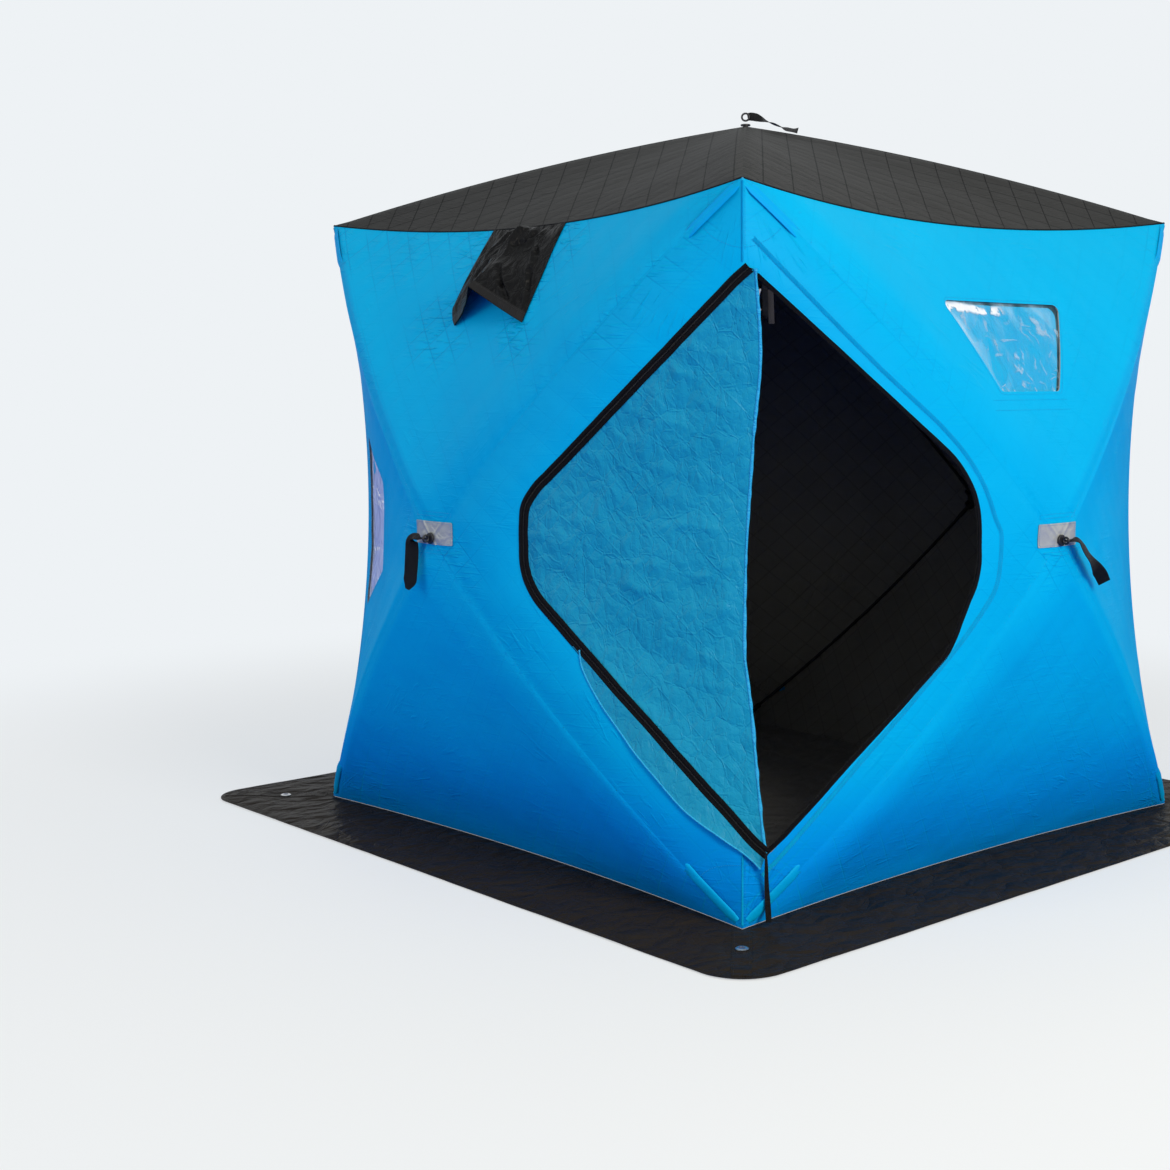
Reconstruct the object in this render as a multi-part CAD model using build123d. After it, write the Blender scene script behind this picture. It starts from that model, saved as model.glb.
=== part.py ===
from build123d import *
import math
import os

# A pop-up ice fishing hut: a cube of quilted cloth whose four walls and roof are each
# held out by four sprung rods that meet in a moulded hub.
# Millimetres, Z up, origin on the ice in the middle of the hut.
# The front wall faces -Y and the right wall faces +X; the door is across their corner.

# Overall form
side = 1800.0               # rod foot to rod foot along one wall
wall_height = 1765.0        # ice to the rod ends at the eaves
roof_rise = 300.0           # eaves to the top of the roof
hub_height = 875.0          # ice to the middle of a wall hub
hub_pop = 257.0             # how far a wall hub stands out of its wall
rod_bow = 50.0              # how far a sprung rod of a wall bows out at its middle
roof_rod_bow = 25.0         # the same for a rod of the roof
corner_draw = 79.0          # how far a corner seam is drawn in, along each of its walls
eave_draw = 58.0            # how far an eave seam is drawn in, and down
foot_draw = 48.0            # how far a foot seam is drawn in

# Cloth
cloth = 4.0                 # quilted wall cloth
trim = 1.0                  # tapes, patches and window film
clearance = 0.3             # room between pieces that touch
skirt_thickness = 3.0
skirt_reach = 280.0         # skirt beyond the line of the wall
skirt_corner_radius = 120.0
floor_thickness = 3.0
skirt_tape_width = 46.0
grommet_diameter = 31.0
grommet_bore = 16.0
grommet_height = 3.0        # above the skirt
grommet_wall = 2.5          # of the barrel through the skirt
grommet_rim = 1.0           # upright edge of the flange
grommet_outset = 105.0      # grommet beyond each wall line, at the corners

# Hubs: a cross of four forks, with a stem that comes out through the cloth
hub_stem_radius = 8.0
hub_core_radius = 25.0
hub_fork_reach = 46.0
hub_fork_width = 27.0
hub_thickness = 24.0
hub_drop = 14.0             # outer skin of the cloth to the face of the hub
hub_cap_radius = 15.0
hub_cap_height = 5.0
hub_edge_radius = 2.0
hub_fork_round = 8.0        # rounded edge at the end of a fork
pivot_radius = 36.0         # hub axis to the pin of a rod
pin_radius = 3.0
slot_start = 22.0           # hub axis to the bottom of a fork's slot

# Sprung rods, each with a ferrule at the hub and its tip in a corner socket
rod_radius = 5.5
ferrule_radius = 7.0
eye_radius = 6.0            # rounded end of a ferrule, round its pin
ferrule_length = 60.0
rod_middle_depth = 14.0     # outer skin to the rod's middle line, half way along it
corner_depth = 38.0         # outer skin to the middle of a corner socket
foot_socket_height = 32.0   # ice to the middle of a foot socket
socket_radius = 9.5
socket_length = 60.0        # middle of a socket to its mouth
socket_ball_radius = 20.0
socket_back = 15.0          # middle of a socket to the tip of a rod

# Door, as seen square on to the corner: each corner of its outline across from the corner
# seam and above the hubs, and its rounding
door_corners = [
    (16.0, 687.0, 14.0),
    (-552.0, 108.0, 110.0),
    (-552.0, -94.0, 180.0),
    (58.0, -713.0, 14.0),
    (515.0, -263.0, 150.0),
    (598.0, -75.0, 200.0),
    (598.0, 163.0, 290.0),
]
flap_cloth = 5.0            # two layers, the free half folded behind the zipped half
zip_width = 28.0
zip_open_width = 9.0
storm_flap_width = 70.0
storm_flap_drop = 275.0     # its upper end below the hubs

# Windows: a trapezoid whose sides run with the rods, measured outwards from the hub
window_near = 378.0
window_far = 612.0
window_near_width = 250.0
window_far_width = 506.0
window_corner_radius = 14.0
window_lap = 12.0

# Roof vent under a hood at the eaves of the front and back walls
hood_top_width = 320.0
hood_foot_width = 344.0
hood_foot_drop = 313.0      # lower corners below the rod ends at the eaves
hood_ridge_out = 142.0      # tip of the ridge beyond the line of the wall
hood_ridge_drop = 224.0
hood_cloth = 1.2
vent_width = 200.0
vent_height = 90.0
vent_corner_radius = 22.5
vent_top_drop = 45.0        # below the middle of the eave seam

# Reflective patch and pull strap on each hub
patch_width = 160.0
patch_height = 60.0
patch_rise = 14.0           # middle of a patch above its hub
strap_width = 36.0
strap_length = 140.0
strap_thickness = 2.0
strap_corner_radius = 9.0
strap_cord_radius = 2.5
strap_cord_length = 40.0
strap_stand_off = 4.0       # cap to the middle line of the cord
strap_angles = {            # turns of the cord and of the webbing, seen from outside
    "front": (180, 265),
    "right": (-20, -50),
    "back": (180, 265),
    "left": (-20, -50),
    "roof": (45, 45),
}

half = side / 2
foot = skirt_thickness + clearance
gore_middle_to_edge = side / 5      # the least such distance in a gore
hub_hole_radius = (hub_stem_radius + clearance) * math.sqrt(2)
face_turns = {"front": 0, "right": 1, "back": 2, "left": 3}
front = Vector(0, -1, 0)
up = Vector(0, 0, 1)


def quarter_turns(shape, count):
    """The shape turned about the middle of the hut from the front wall to another."""
    return Rot(0, 0, 90 * count) * shape


def corner_point(x_sign, height, depth):
    """A rod corner of the front wall, moved in from the outer skin by depth."""
    return Vector(x_sign * (half - depth), depth - half, height)


def wall_corners(depth):
    """Corners of the front wall, clockwise from the lower left as seen from outside."""
    top = wall_height - depth
    return [
        corner_point(-1, foot, depth),
        corner_point(-1, top, depth),
        corner_point(1, top, depth),
        corner_point(1, foot, depth),
    ]


def wall_hub(depth):
    return Vector(0, depth - half - hub_pop, hub_height)


def roof_hub(depth):
    return Vector(0, 0, wall_height + roof_rise - depth)


def off_hub(hub, corner, outward, distance):
    """The point beside a hub, square to its axis, on the way to a corner."""
    along = corner - hub
    flat = along - outward * along.dot(outward)
    return hub + flat.normalized() * distance


def bowed(start, end, rise):
    """Control points of an even bow whose middle stands off the straight line by rise."""
    return [start, (start + end) / 2 + rise * 2, end]


def gore_net(hub, corner_a, corner_b, outward, bow, draw):
    """Surface net of a gore: cloth stretched between two bowed rods and one seam."""
    near_a = off_hub(hub, corner_a, outward, hub_hole_radius)
    near_b = off_hub(hub, corner_b, outward, hub_hole_radius)
    edge_a = bowed(near_a, corner_a, outward * bow)
    edge_b = bowed(near_b, corner_b, outward * bow)
    seam = bowed(corner_a, corner_b, draw)
    near = (near_a + near_b) / 2
    ends = (near_a + near_b + corner_a + corner_b) / 4
    middle = (edge_a[1] + edge_b[1] + near + seam[1]) / 2 - ends
    return [edge_a, [near, middle, seam[1]], edge_b]


def wall_net(place, depth):
    """Net of one gore of the front wall: left, top, right or bottom."""
    lower_left, upper_left, upper_right, lower_right = wall_corners(depth)
    runs = {
        "left": (lower_left, upper_left, Vector(corner_draw, corner_draw, 0)),
        "top": (upper_left, upper_right, Vector(0, eave_draw, -eave_draw)),
        "right": (upper_right, lower_right, Vector(-corner_draw, corner_draw, 0)),
        "bottom": (lower_right, lower_left, Vector(0, foot_draw, 0)),
    }
    start, end, draw = runs[place]
    return gore_net(wall_hub(depth), start, end, front, rod_bow, draw)


def roof_net(depth):
    """Net of the roof gore over the front wall."""
    _, upper_left, upper_right, _ = wall_corners(depth)
    draw = Vector(0, eave_draw, -eave_draw)
    return gore_net(roof_hub(depth), upper_left, upper_right, up, roof_rod_bow, draw)


def drawn_in(net, gap):
    """The net made smaller about its middle, so that neighbours stay apart by gap."""
    points = [point for row in net for point in row]
    centre = sum(points, Vector(0, 0, 0)) / len(points)
    keep = 1 - gap / 2 / gore_middle_to_edge
    return [[centre + (point - centre) * keep for point in row] for row in net]


def borders(net):
    """The four border curves of a net."""
    return [net[0], net[-1], [row[0] for row in net], [row[-1] for row in net]]


def layer(outer_net, inner_net):
    """A closed sheet of cloth between two nets of the same form."""
    faces = [Face.make_bezier_surface(outer_net), Face.make_bezier_surface(inner_net)]
    for outer_edge, inner_edge in zip(borders(outer_net), borders(inner_net)):
        rim = [Edge.make_bezier(*outer_edge), Edge.make_bezier(*inner_edge)]
        faces.append(Face.make_surface_from_curves(*rim))
    sheet = Solid(Shell(faces))
    return sheet if sheet.volume > 0 else Solid(sheet.wrapped.Reversed())


def wall_cloth(place, outer=0.0, inner=cloth, gap=clearance):
    """One gore of the front wall from depth outer to depth inner."""
    return layer(drawn_in(wall_net(place, outer), gap), drawn_in(wall_net(place, inner), gap))


def roof_cloth(outer=0.0, inner=cloth, gap=clearance):
    return layer(drawn_in(roof_net(outer), gap), drawn_in(roof_net(inner), gap))


def through_front(sketch):
    """A sketch of across and up, run through the front wall."""
    plane = Plane(origin=(0, -half / 2, 0), x_dir=(1, 0, 0), z_dir=(0, -1, 0))
    return extrude(plane * sketch, half)


def through_corner(sketch):
    """A sketch of across and up, run square through the door corner."""
    plane = Plane(origin=(half / 2, -half / 2, 0), x_dir=(1, 1, 0), z_dir=(1, -1, 0))
    return extrude(plane * sketch, half)


def door_outline():
    """The opening across the corner, a diamond whose sides are cut off and rounded."""
    corners = [(across, hub_height + above) for across, above, _ in door_corners]
    outline = Polygon(*corners, align=None)
    for corner, (_, _, radius) in zip(corners, door_corners):
        nearest = outline.vertices().sort_by_distance((*corner, 0))[0]
        outline = fillet(nearest, radius)
    return outline


def window_outline(grow=0.0):
    """A window of the top gore, its narrow side towards the hub."""
    near_z = hub_height + window_near
    far_z = hub_height + window_far
    outline = Polygon(
        (-window_near_width / 2, near_z),
        (window_near_width / 2, near_z),
        (window_far_width / 2, far_z),
        (-window_far_width / 2, far_z),
        align=None,
    )
    outline = fillet(outline.vertices(), window_corner_radius)
    return offset(outline, grow) if grow else outline


def side_window_outline(grow=0.0):
    """The same window turned to the left gore."""
    centre = Pos(0, hub_height)
    return centre * Rot(0, 0, 90) * Pos(0, -hub_height) * window_outline(grow)


def vent_outline(grow=0.0):
    """The vent behind the hood, in the top gore below the eave seam."""
    top = wall_height - eave_draw - vent_top_drop
    return Pos(0, top - vent_height / 2) * RectangleRounded(
        vent_width + 2 * grow, vent_height + 2 * grow, vent_corner_radius
    )


def skin_point(place, across, height):
    """Where a line square to the front wall meets the outer skin of one of its gores."""
    skin = Face.make_bezier_surface(wall_net(place, 0.0))
    line = Edge.make_line((across, 0, height), (across, -side, height))
    return Vector(*skin.intersect(line).vertices()[0].center())


def spread(row):
    """Control points of an even curve through the three points of a row."""
    start, middle, end = row
    return [start, middle * 2 - (start + end) / 2, end]


def save(pieces, name):
    """Write one node, of one piece or of several like pieces that do not touch."""
    pieces = pieces if isinstance(pieces, list) else [pieces]
    solids = [solid for piece in pieces for solid in piece.solids()]
    export_step(Compound(solids) if len(solids) > 1 else solids[0], f"parts/{name}.step")


# Wall and roof cloth

os.makedirs("parts", exist_ok=True)
door_opening = door_outline()
door_cut = through_corner(door_opening)
window_cut = through_front(window_outline())
side_window_cut = through_front(side_window_outline())
vent_cut = through_front(vent_outline())

for face, turns in face_turns.items():
    panels = {place: wall_cloth(place) for place in ("top", "left", "right", "bottom")}
    if face in ("front", "back"):
        panels["top"] -= vent_cut
        panels["left"] -= side_window_cut
    else:
        panels["top"] -= window_cut
    for place, panel in panels.items():
        panel = quarter_turns(panel, turns)
        if (face, place) in (("front", "right"), ("right", "left")):
            panel -= door_cut
        save(panel, f"{face}_wall_{place}_panel")
    save(quarter_turns(roof_cloth(), turns), f"roof_{face}_panel")

# Windows: clear film lapped behind its opening

film_top = cloth + clearance
film = wall_cloth("top", film_top, film_top + trim)
window = film & through_front(window_outline(window_lap))
side_window = wall_cloth("left", film_top, film_top + trim)
side_window &= through_front(side_window_outline(window_lap))
save(quarter_turns(window, 1), "right_wall_window")
save(quarter_turns(window, 3), "left_wall_window")
save(side_window, "front_wall_window")
save(quarter_turns(side_window, 2), "back_wall_window")

# Window covers: cloth closed behind the film

cover_top = film_top + trim + clearance
top_cover = wall_cloth("top", cover_top, cover_top + trim)
top_cover &= through_front(window_outline(window_lap))
side_cover = wall_cloth("left", cover_top, cover_top + trim)
side_cover &= through_front(side_window_outline(window_lap))
save([quarter_turns(side_cover, 0), quarter_turns(top_cover, 1),
      quarter_turns(side_cover, 2), quarter_turns(top_cover, 3)], "window_covers")

# Vents: a mesh lapped behind its opening, and a hood of two panels that meet on a ridge

vent_mesh = film & through_front(vent_outline(window_lap))
save([vent_mesh, quarter_turns(vent_mesh, 2)], "vent_meshes")


def vent_hood():
    stand_off = front * (hood_cloth + clearance)
    eave_z = wall_height - eave_draw
    ridge_foot = Vector(0, eave_draw - half, eave_z)
    ridge_tip = Vector(0, -half - hood_ridge_out, wall_height - hood_ridge_drop)
    foot_z = wall_height - hood_foot_drop
    middle_z = (eave_z + foot_z) / 2
    top_x, foot_x = hood_top_width / 2, hood_foot_width / 2
    edge = [
        skin_point("top", top_x, eave_z + hood_cloth),
        skin_point("top", (top_x + foot_x) / 2, middle_z),
        skin_point("top", foot_x, foot_z),
    ]
    outer = [
        spread([point + stand_off for point in edge]),
        [ridge_foot + stand_off, (ridge_foot + stand_off + ridge_tip) / 2, ridge_tip],
    ]
    inward = Vector(0, hood_cloth / 2, -hood_cloth)
    inner = [[point + inward for point in row] for row in outer]
    panel = layer(outer, inner)
    return panel + mirror(panel, Plane.YZ)


hood = vent_hood()
save(hood, "front_vent_hood")
save(quarter_turns(hood, 2), "back_vent_hood")

# Door: the flap closed on the left, its zip, the open side's tape and the storm flap

flap_outline = offset(door_opening, -clearance)
flap = wall_cloth("right", 0.0, flap_cloth) & through_corner(flap_outline)
save(flap, "door_flap")

tape_top = -clearance - trim
zip_band = offset(door_opening, zip_width / 2) - offset(door_opening, -zip_width / 2)
zip_tape = wall_cloth("right", tape_top, -clearance) & through_corner(zip_band)
save(zip_tape, "door_zip")

open_band = flap_outline - offset(door_opening, -zip_open_width)
open_tape = wall_cloth("left", trim, 2 * trim)
open_tape = quarter_turns(open_tape, 1) & through_corner(open_band)
save(open_tape, "door_open_zip")

storm_band = offset(door_opening, zip_width / 2 + storm_flap_width)
storm_band -= offset(door_opening, zip_width / 2 + clearance)
storm_flap_top = hub_height - storm_flap_drop
storm_band &= Pos(-half, 0) * Rectangle(side, storm_flap_top, align=(Align.CENTER, Align.MIN))
storm_flap = wall_cloth("right", tape_top, -clearance) & through_corner(storm_band)
save(storm_flap, "door_storm_flap")

# Hubs and sprung rods

eye_depth = hub_drop + hub_thickness / 2


def socket_centres():
    """Middles of the corner sockets at the ends of the front wall's rods."""
    top = wall_height - corner_depth
    return [
        corner_point(-1, foot_socket_height, corner_depth),
        corner_point(-1, top, corner_depth),
        corner_point(1, top, corner_depth),
        corner_point(1, foot_socket_height, corner_depth),
    ]


def rod_line(axis_point, skin_middle, socket, outward, tip_gap=0.0):
    """Bowed middle line of a rod from its pin in the hub to its tip in a socket."""
    start = off_hub(axis_point, socket, outward, pivot_radius)
    end = socket + (start - socket).normalized() * (socket_back - tip_gap)
    return ThreePointArc(start, skin_middle - outward * rod_middle_depth, end)


def wall_rod_lines(tip_gap=0.0):
    hub = wall_hub(0.0)
    lines = []
    for corner, socket in zip(wall_corners(0.0), socket_centres()):
        middle = (off_hub(hub, corner, front, hub_hole_radius) + corner) / 2 + front * rod_bow
        lines.append(rod_line(wall_hub(eye_depth), middle, socket, front, tip_gap))
    return lines


def roof_rod_lines(tip_gap=0.0):
    hub = roof_hub(0.0)
    lines = []
    for turns in range(4):
        turn = Rot(0, 0, 90 * turns)
        corner = wall_corners(0.0)[1]
        socket = socket_centres()[1]
        middle = (off_hub(hub, corner, up, hub_hole_radius) + corner) / 2 + up * roof_rod_bow
        lines.append(turn * rod_line(roof_hub(eye_depth), middle, socket, up, tip_gap))
    return lines


def swept_rod(line, radius):
    return sweep(Plane(line @ 0, z_dir=line % 0) * Circle(radius), path=line)


def rod(line, outward):
    """A rod with the ferrule that holds its end and the pin of that ferrule."""
    along = line % 0
    across = along.cross(outward)
    ferrule_plane = Plane(line @ 0, z_dir=along)
    pin_plane = Plane(line @ 0, z_dir=across)
    ferrule = ferrule_plane * Cylinder(
        ferrule_radius, ferrule_length, align=(Align.CENTER, Align.CENTER, Align.MIN)
    )
    eye = pin_plane * Cylinder(eye_radius, 2 * eye_radius)
    pin = pin_plane * Cylinder(pin_radius, hub_fork_width - clearance)
    return swept_rod(line, rod_radius) + ferrule + eye + pin


def hub(axis_point, lines, outward):
    """Hub with one fork for each rod, and a stem and cap on the outside of the cloth."""
    face = axis_point + outward * (hub_thickness / 2)
    plane = Plane(face, z_dir=outward)
    downward = (Align.CENTER, Align.CENTER, Align.MAX)
    body = Cylinder(hub_core_radius, hub_thickness, align=downward)
    stem_height = hub_drop + 2 * clearance + trim
    cap = Pos(0, 0, stem_height) * Cylinder(
        hub_cap_radius, hub_cap_height, align=(Align.CENTER, Align.CENTER, Align.MIN)
    )
    stem = Cylinder(hub_stem_radius, stem_height, align=(Align.CENTER, Align.CENTER, Align.MIN))
    slot_width = 2 * (ferrule_radius + clearance)
    for line in lines:
        reach = plane.to_local_coords(line @ 0)
        turn = Rot(0, 0, math.degrees(math.atan2(reach.Y, reach.X)))
        fork = Box(
            hub_fork_reach, hub_fork_width, hub_thickness,
            align=(Align.MIN, Align.CENTER, Align.MAX),
        )
        fork = fillet(fork.edges().filter_by(Axis.Y).group_by(Axis.X)[-1], hub_fork_round)
        slot = Pos(slot_start, 0, hub_edge_radius) * Box(
            hub_fork_reach, slot_width, hub_thickness + 2 * hub_edge_radius,
            align=(Align.MIN, Align.CENTER, Align.MAX),
        )
        pin_hole = Pos(pivot_radius, 0, -hub_thickness / 2) * Rot(90, 0, 0) * Cylinder(
            pin_radius + clearance, hub_fork_width
        )
        body = body + turn * fork
        body = body - turn * slot - turn * pin_hole
    cap = fillet(cap.edges().group_by(Axis.Z)[-1], hub_edge_radius)
    return plane * (body + stem + cap)


front_lines = wall_rod_lines()
front_hub = hub(wall_hub(eye_depth), front_lines, front)
front_rods = [rod(line, front) for line in front_lines]
for face, turns in face_turns.items():
    save(quarter_turns(front_hub, turns), f"{face}_hub")
    save([quarter_turns(one, turns) for one in front_rods], f"{face}_rods")
roof_lines = roof_rod_lines()
save(hub(roof_hub(eye_depth), roof_lines, up), "roof_hub")
save([rod(line, up) for line in roof_lines], "roof_rods")

# Corner sockets: three mouths at each eave corner, two at each foot corner


def corner_socket(centre, lines):
    """A ball with a mouth for the tip of each rod that ends in it."""
    seam_turn = 225     # keeps the ball's own seam on its outer side, clear of the mouths
    ball = Pos(*centre) * Rot(0, 0, seam_turn) * Sphere(socket_ball_radius)
    for line in lines:
        into = line % 1
        mouth = Plane(centre - into * socket_length, z_dir=into)
        tube = Cylinder(socket_radius, socket_length, align=(Align.CENTER, Align.CENTER, Align.MIN))
        ball += mouth * tube
    for line in lines:
        ball -= swept_rod(line, rod_radius + clearance)
    return ball


bored = wall_rod_lines(clearance)
left_bored = [quarter_turns(line, 3) for line in bored]
roof_bored = roof_rod_lines(clearance)
foot_centre, top_centre = socket_centres()[:2]
foot_socket = corner_socket(foot_centre, [bored[0], left_bored[3]])
top_socket = corner_socket(top_centre, [bored[1], left_bored[2], roof_bored[0]])
save([quarter_turns(foot_socket, turns) for turns in range(4)], "foot_corner_sockets")
save([quarter_turns(top_socket, turns) for turns in range(4)], "eave_corner_sockets")

# Reflective patches over the cloth at each wall hub

patch_area = Pos(0, hub_height + patch_rise) * Rectangle(patch_width, patch_height)
patch_cut = through_front(patch_area)
patch_slices = [wall_cloth(place, tape_top, -clearance, 0.0) & patch_cut
                for place in ("left", "top", "right", "bottom")]
patch = patch_slices[0] + patch_slices[1:]
save([quarter_turns(patch, turns) for turns in range(4)], "reflective_patches")

# Skirt, groundsheet and ice anchor grommets


def floor_plan(depth):
    """The ground inside the foot seams, moved in from the outer skin by depth."""
    ends = corner_point(-1, 0, depth), corner_point(1, 0, depth)
    foot_edge = Edge.make_bezier(*bowed(*ends, Vector(0, foot_draw, 0)))
    return Sketch() + Face(Wire([quarter_turns(foot_edge, turns) for turns in range(4)]))


skirt_side = side + 2 * skirt_reach
skirt_ring = RectangleRounded(skirt_side, skirt_side, skirt_corner_radius) - floor_plan(cloth)
grommet_centre = half + grommet_outset
grommet_radius = grommet_bore / 2
barrel_radius = grommet_radius + grommet_wall
skirt_holes = Sketch() + [
    Rot(0, 0, 90 * turns) * Pos(grommet_centre, -grommet_centre) * Circle(barrel_radius + clearance)
    for turns in range(4)
]
skirt_ring -= skirt_holes
wedge = Polygon((0, -clearance), (-side, -side - clearance), (side, -side - clearance), align=None)
skirt_pieces = [extrude(skirt_ring & Rot(0, 0, 90 * turns) * wedge, skirt_thickness)
                for turns in range(4)]
save(skirt_pieces, "snow_skirt")
save(extrude(floor_plan(cloth + clearance), floor_thickness), "ground_sheet")

tape_start = half * math.sqrt(2) + skirt_tape_width / 2
skirt_tip = (half + skirt_reach) * math.sqrt(2) - skirt_corner_radius * (math.sqrt(2) - 1)
tape_length = skirt_tip - skirt_tape_width / 4 - tape_start
corner_tape = Rot(0, 0, -45) * Pos(tape_start, 0) * Rectangle(
    tape_length, skirt_tape_width, align=(Align.MIN, Align.CENTER)
)
corner_tape -= skirt_holes
corner_tape = Pos(0, 0, skirt_thickness + clearance) * extrude(corner_tape, trim)
save([quarter_turns(corner_tape, turns) for turns in range(4)], "skirt_corner_tapes")

flange_bottom = skirt_thickness + trim + 2 * clearance
flange_top = flange_bottom + grommet_height
flange_radius = grommet_diameter / 2
grommet_section = Polygon(
    (grommet_radius, 0),
    (barrel_radius, 0),
    (barrel_radius, flange_bottom),
    (flange_radius, flange_bottom),
    (flange_radius, flange_bottom + grommet_rim),
    ((grommet_radius + flange_radius) / 2, flange_top),
    (grommet_radius, flange_top),
    align=None,
)
grommet = revolve(Plane.XZ * grommet_section, Axis.Z)
save([quarter_turns(Pos(grommet_centre, -grommet_centre) * grommet, turns) for turns in range(4)],
     "skirt_grommets")

# Pull straps: webbing on a short cord from the cap of each hub


def pull_strap(cord_angle, strap_angle):
    """A strap on a hub that faces +Z: the cord lies across the cap, then the webbing."""
    lift = hub_cap_height + strap_stand_off
    cord = Rot(0, 0, cord_angle) * Pos(0, 0, lift) * Rot(0, 90, 0) * Cylinder(
        strap_cord_radius, strap_cord_length, align=(Align.CENTER, Align.CENTER, Align.MIN)
    )
    knot = Pos(0, 0, clearance + hub_cap_height) * Cylinder(
        2 * strap_cord_radius, lift - hub_cap_height, align=(Align.CENTER, Align.CENTER, Align.MIN)
    )
    webbing = Box(
        strap_length, strap_width, strap_thickness,
        align=(Align.MIN, Align.CENTER, Align.CENTER),
    )
    webbing = fillet(webbing.edges().filter_by(Axis.Z).group_by(Axis.X)[-1], strap_corner_radius)
    reach = Rot(0, 0, cord_angle) * Pos(strap_cord_length, 0, lift)
    webbing = reach * Rot(0, 0, strap_angle - cord_angle) * webbing
    return cord + knot + webbing


cap_base_depth = -(trim + 2 * clearance)
straps = []
for face, turns in face_turns.items():
    plane = Plane(wall_hub(cap_base_depth), x_dir=(1, 0, 0), z_dir=front)
    straps.append(quarter_turns(plane * pull_strap(*strap_angles[face]), turns))
roof_plane = Plane(roof_hub(cap_base_depth), x_dir=(1, 0, 0), z_dir=up)
straps.append(roof_plane * pull_strap(*strap_angles["roof"]))
save(straps, "pull_straps")
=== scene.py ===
import math

import bmesh
import bpy
import numpy as np
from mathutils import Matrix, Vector, kdtree
from mathutils.geometry import delaunay_2d_cdt


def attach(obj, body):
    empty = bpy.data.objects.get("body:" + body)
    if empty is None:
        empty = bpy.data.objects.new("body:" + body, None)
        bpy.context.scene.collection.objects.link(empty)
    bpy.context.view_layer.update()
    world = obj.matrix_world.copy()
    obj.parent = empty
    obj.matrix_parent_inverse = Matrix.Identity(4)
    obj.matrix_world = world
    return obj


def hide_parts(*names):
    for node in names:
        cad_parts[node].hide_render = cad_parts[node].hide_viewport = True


# A pop-up ice fishing hut. Metres, Z up, origin on the ice in the middle of the hut.
# The front wall faces -Y and the right wall +X; the door is across their corner.

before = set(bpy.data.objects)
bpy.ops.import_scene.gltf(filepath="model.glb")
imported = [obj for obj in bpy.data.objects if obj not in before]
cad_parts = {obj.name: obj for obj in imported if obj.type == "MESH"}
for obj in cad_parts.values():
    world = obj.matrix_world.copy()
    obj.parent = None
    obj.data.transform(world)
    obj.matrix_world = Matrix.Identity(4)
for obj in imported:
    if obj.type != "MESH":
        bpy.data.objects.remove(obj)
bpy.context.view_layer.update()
scene = bpy.context.scene
scene.view_settings.view_transform = "Standard"

# Camera: square on to the door corner from 5.4 m away, level, 1.3 m above the ice.
# The upright edges of the hut stay parallel, so the picture is shifted up and not tilted.


def put_in(name, data):
    """A new object in the scene."""
    made = bpy.data.objects.new(name, data)
    scene.collection.objects.link(made)
    return made


photo_side = 1170
horizon_y = 378.1           # pixel row that is level with the camera
axis_x = 690.0              # pixel column that the camera looks along
focal_pixels = 1766.0
camera_place = (3.850, -3.806, 1.294)
camera_yaw = 47.13          # degrees, turned from +Y towards -X
camera_data = bpy.data.cameras.new("photo_view")
camera_data.sensor_width = 36.0
camera_data.lens = focal_pixels / photo_side * camera_data.sensor_width
camera_data.shift_x = (photo_side / 2 - axis_x) / photo_side
camera_data.shift_y = (horizon_y - photo_side / 2) / photo_side
camera_data.clip_start = 0.05
camera = put_in("photo_view", camera_data)
camera.location = camera_place
camera.rotation_euler = (math.radians(90), 0, math.radians(camera_yaw))
scene.camera = camera

# Floor and light: a pale studio floor that runs out into a background of the same tone,
# one large soft key on the right of the hut, a weaker one on its left, and an even sky.


def linear(colour):
    """An sRGB hex colour as linear red, green, blue and alpha."""
    values = [int(colour[i:i + 2], 16) / 255 for i in (1, 3, 5)]
    return (*[v / 12.92 if v <= 0.04045 else ((v + 0.055) / 1.055) ** 2.4 for v in values], 1.0)


def add(tree, kind, inputs=None, out=0, **settings):
    """Add a node and give one of its outputs; each input is a value or the socket that feeds it."""
    made = tree.nodes.new(kind if "Node" in kind else "ShaderNode" + kind)
    for name, value in settings.items():
        setattr(made, name, value)
    for name, value in (inputs or {}).items():
        if isinstance(value, bpy.types.NodeSocket):
            tree.links.new(value, made.inputs[name])
        else:
            made.inputs[name].default_value = value
    return made.outputs[out] if len(made.outputs) else None


def new_material(name):
    """An empty material and its node tree."""
    material = bpy.data.materials.new(name)
    material.use_nodes = True
    material.node_tree.nodes.clear()
    return material, material.node_tree


backdrop_colour = "#EEF2F5"
floor_colour = "#A8A6A3"    # as seen; the rest of its tone is its own faint glow
floor_glow = 0.57
bounce_colour = "#3C68D8"   # of the light that the floor throws back on the hut
floor_radius, floor_corners, floor_height = 60.0, 96, -0.0005
sky_colour, sky_strength = "#E6EBF0", 0.66
lamp_target = (0, 0, 0.9)   # the middle of the hut
floor_fade = (1.9, 4.2)     # metres from the hut where the floor runs out into the background

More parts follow.
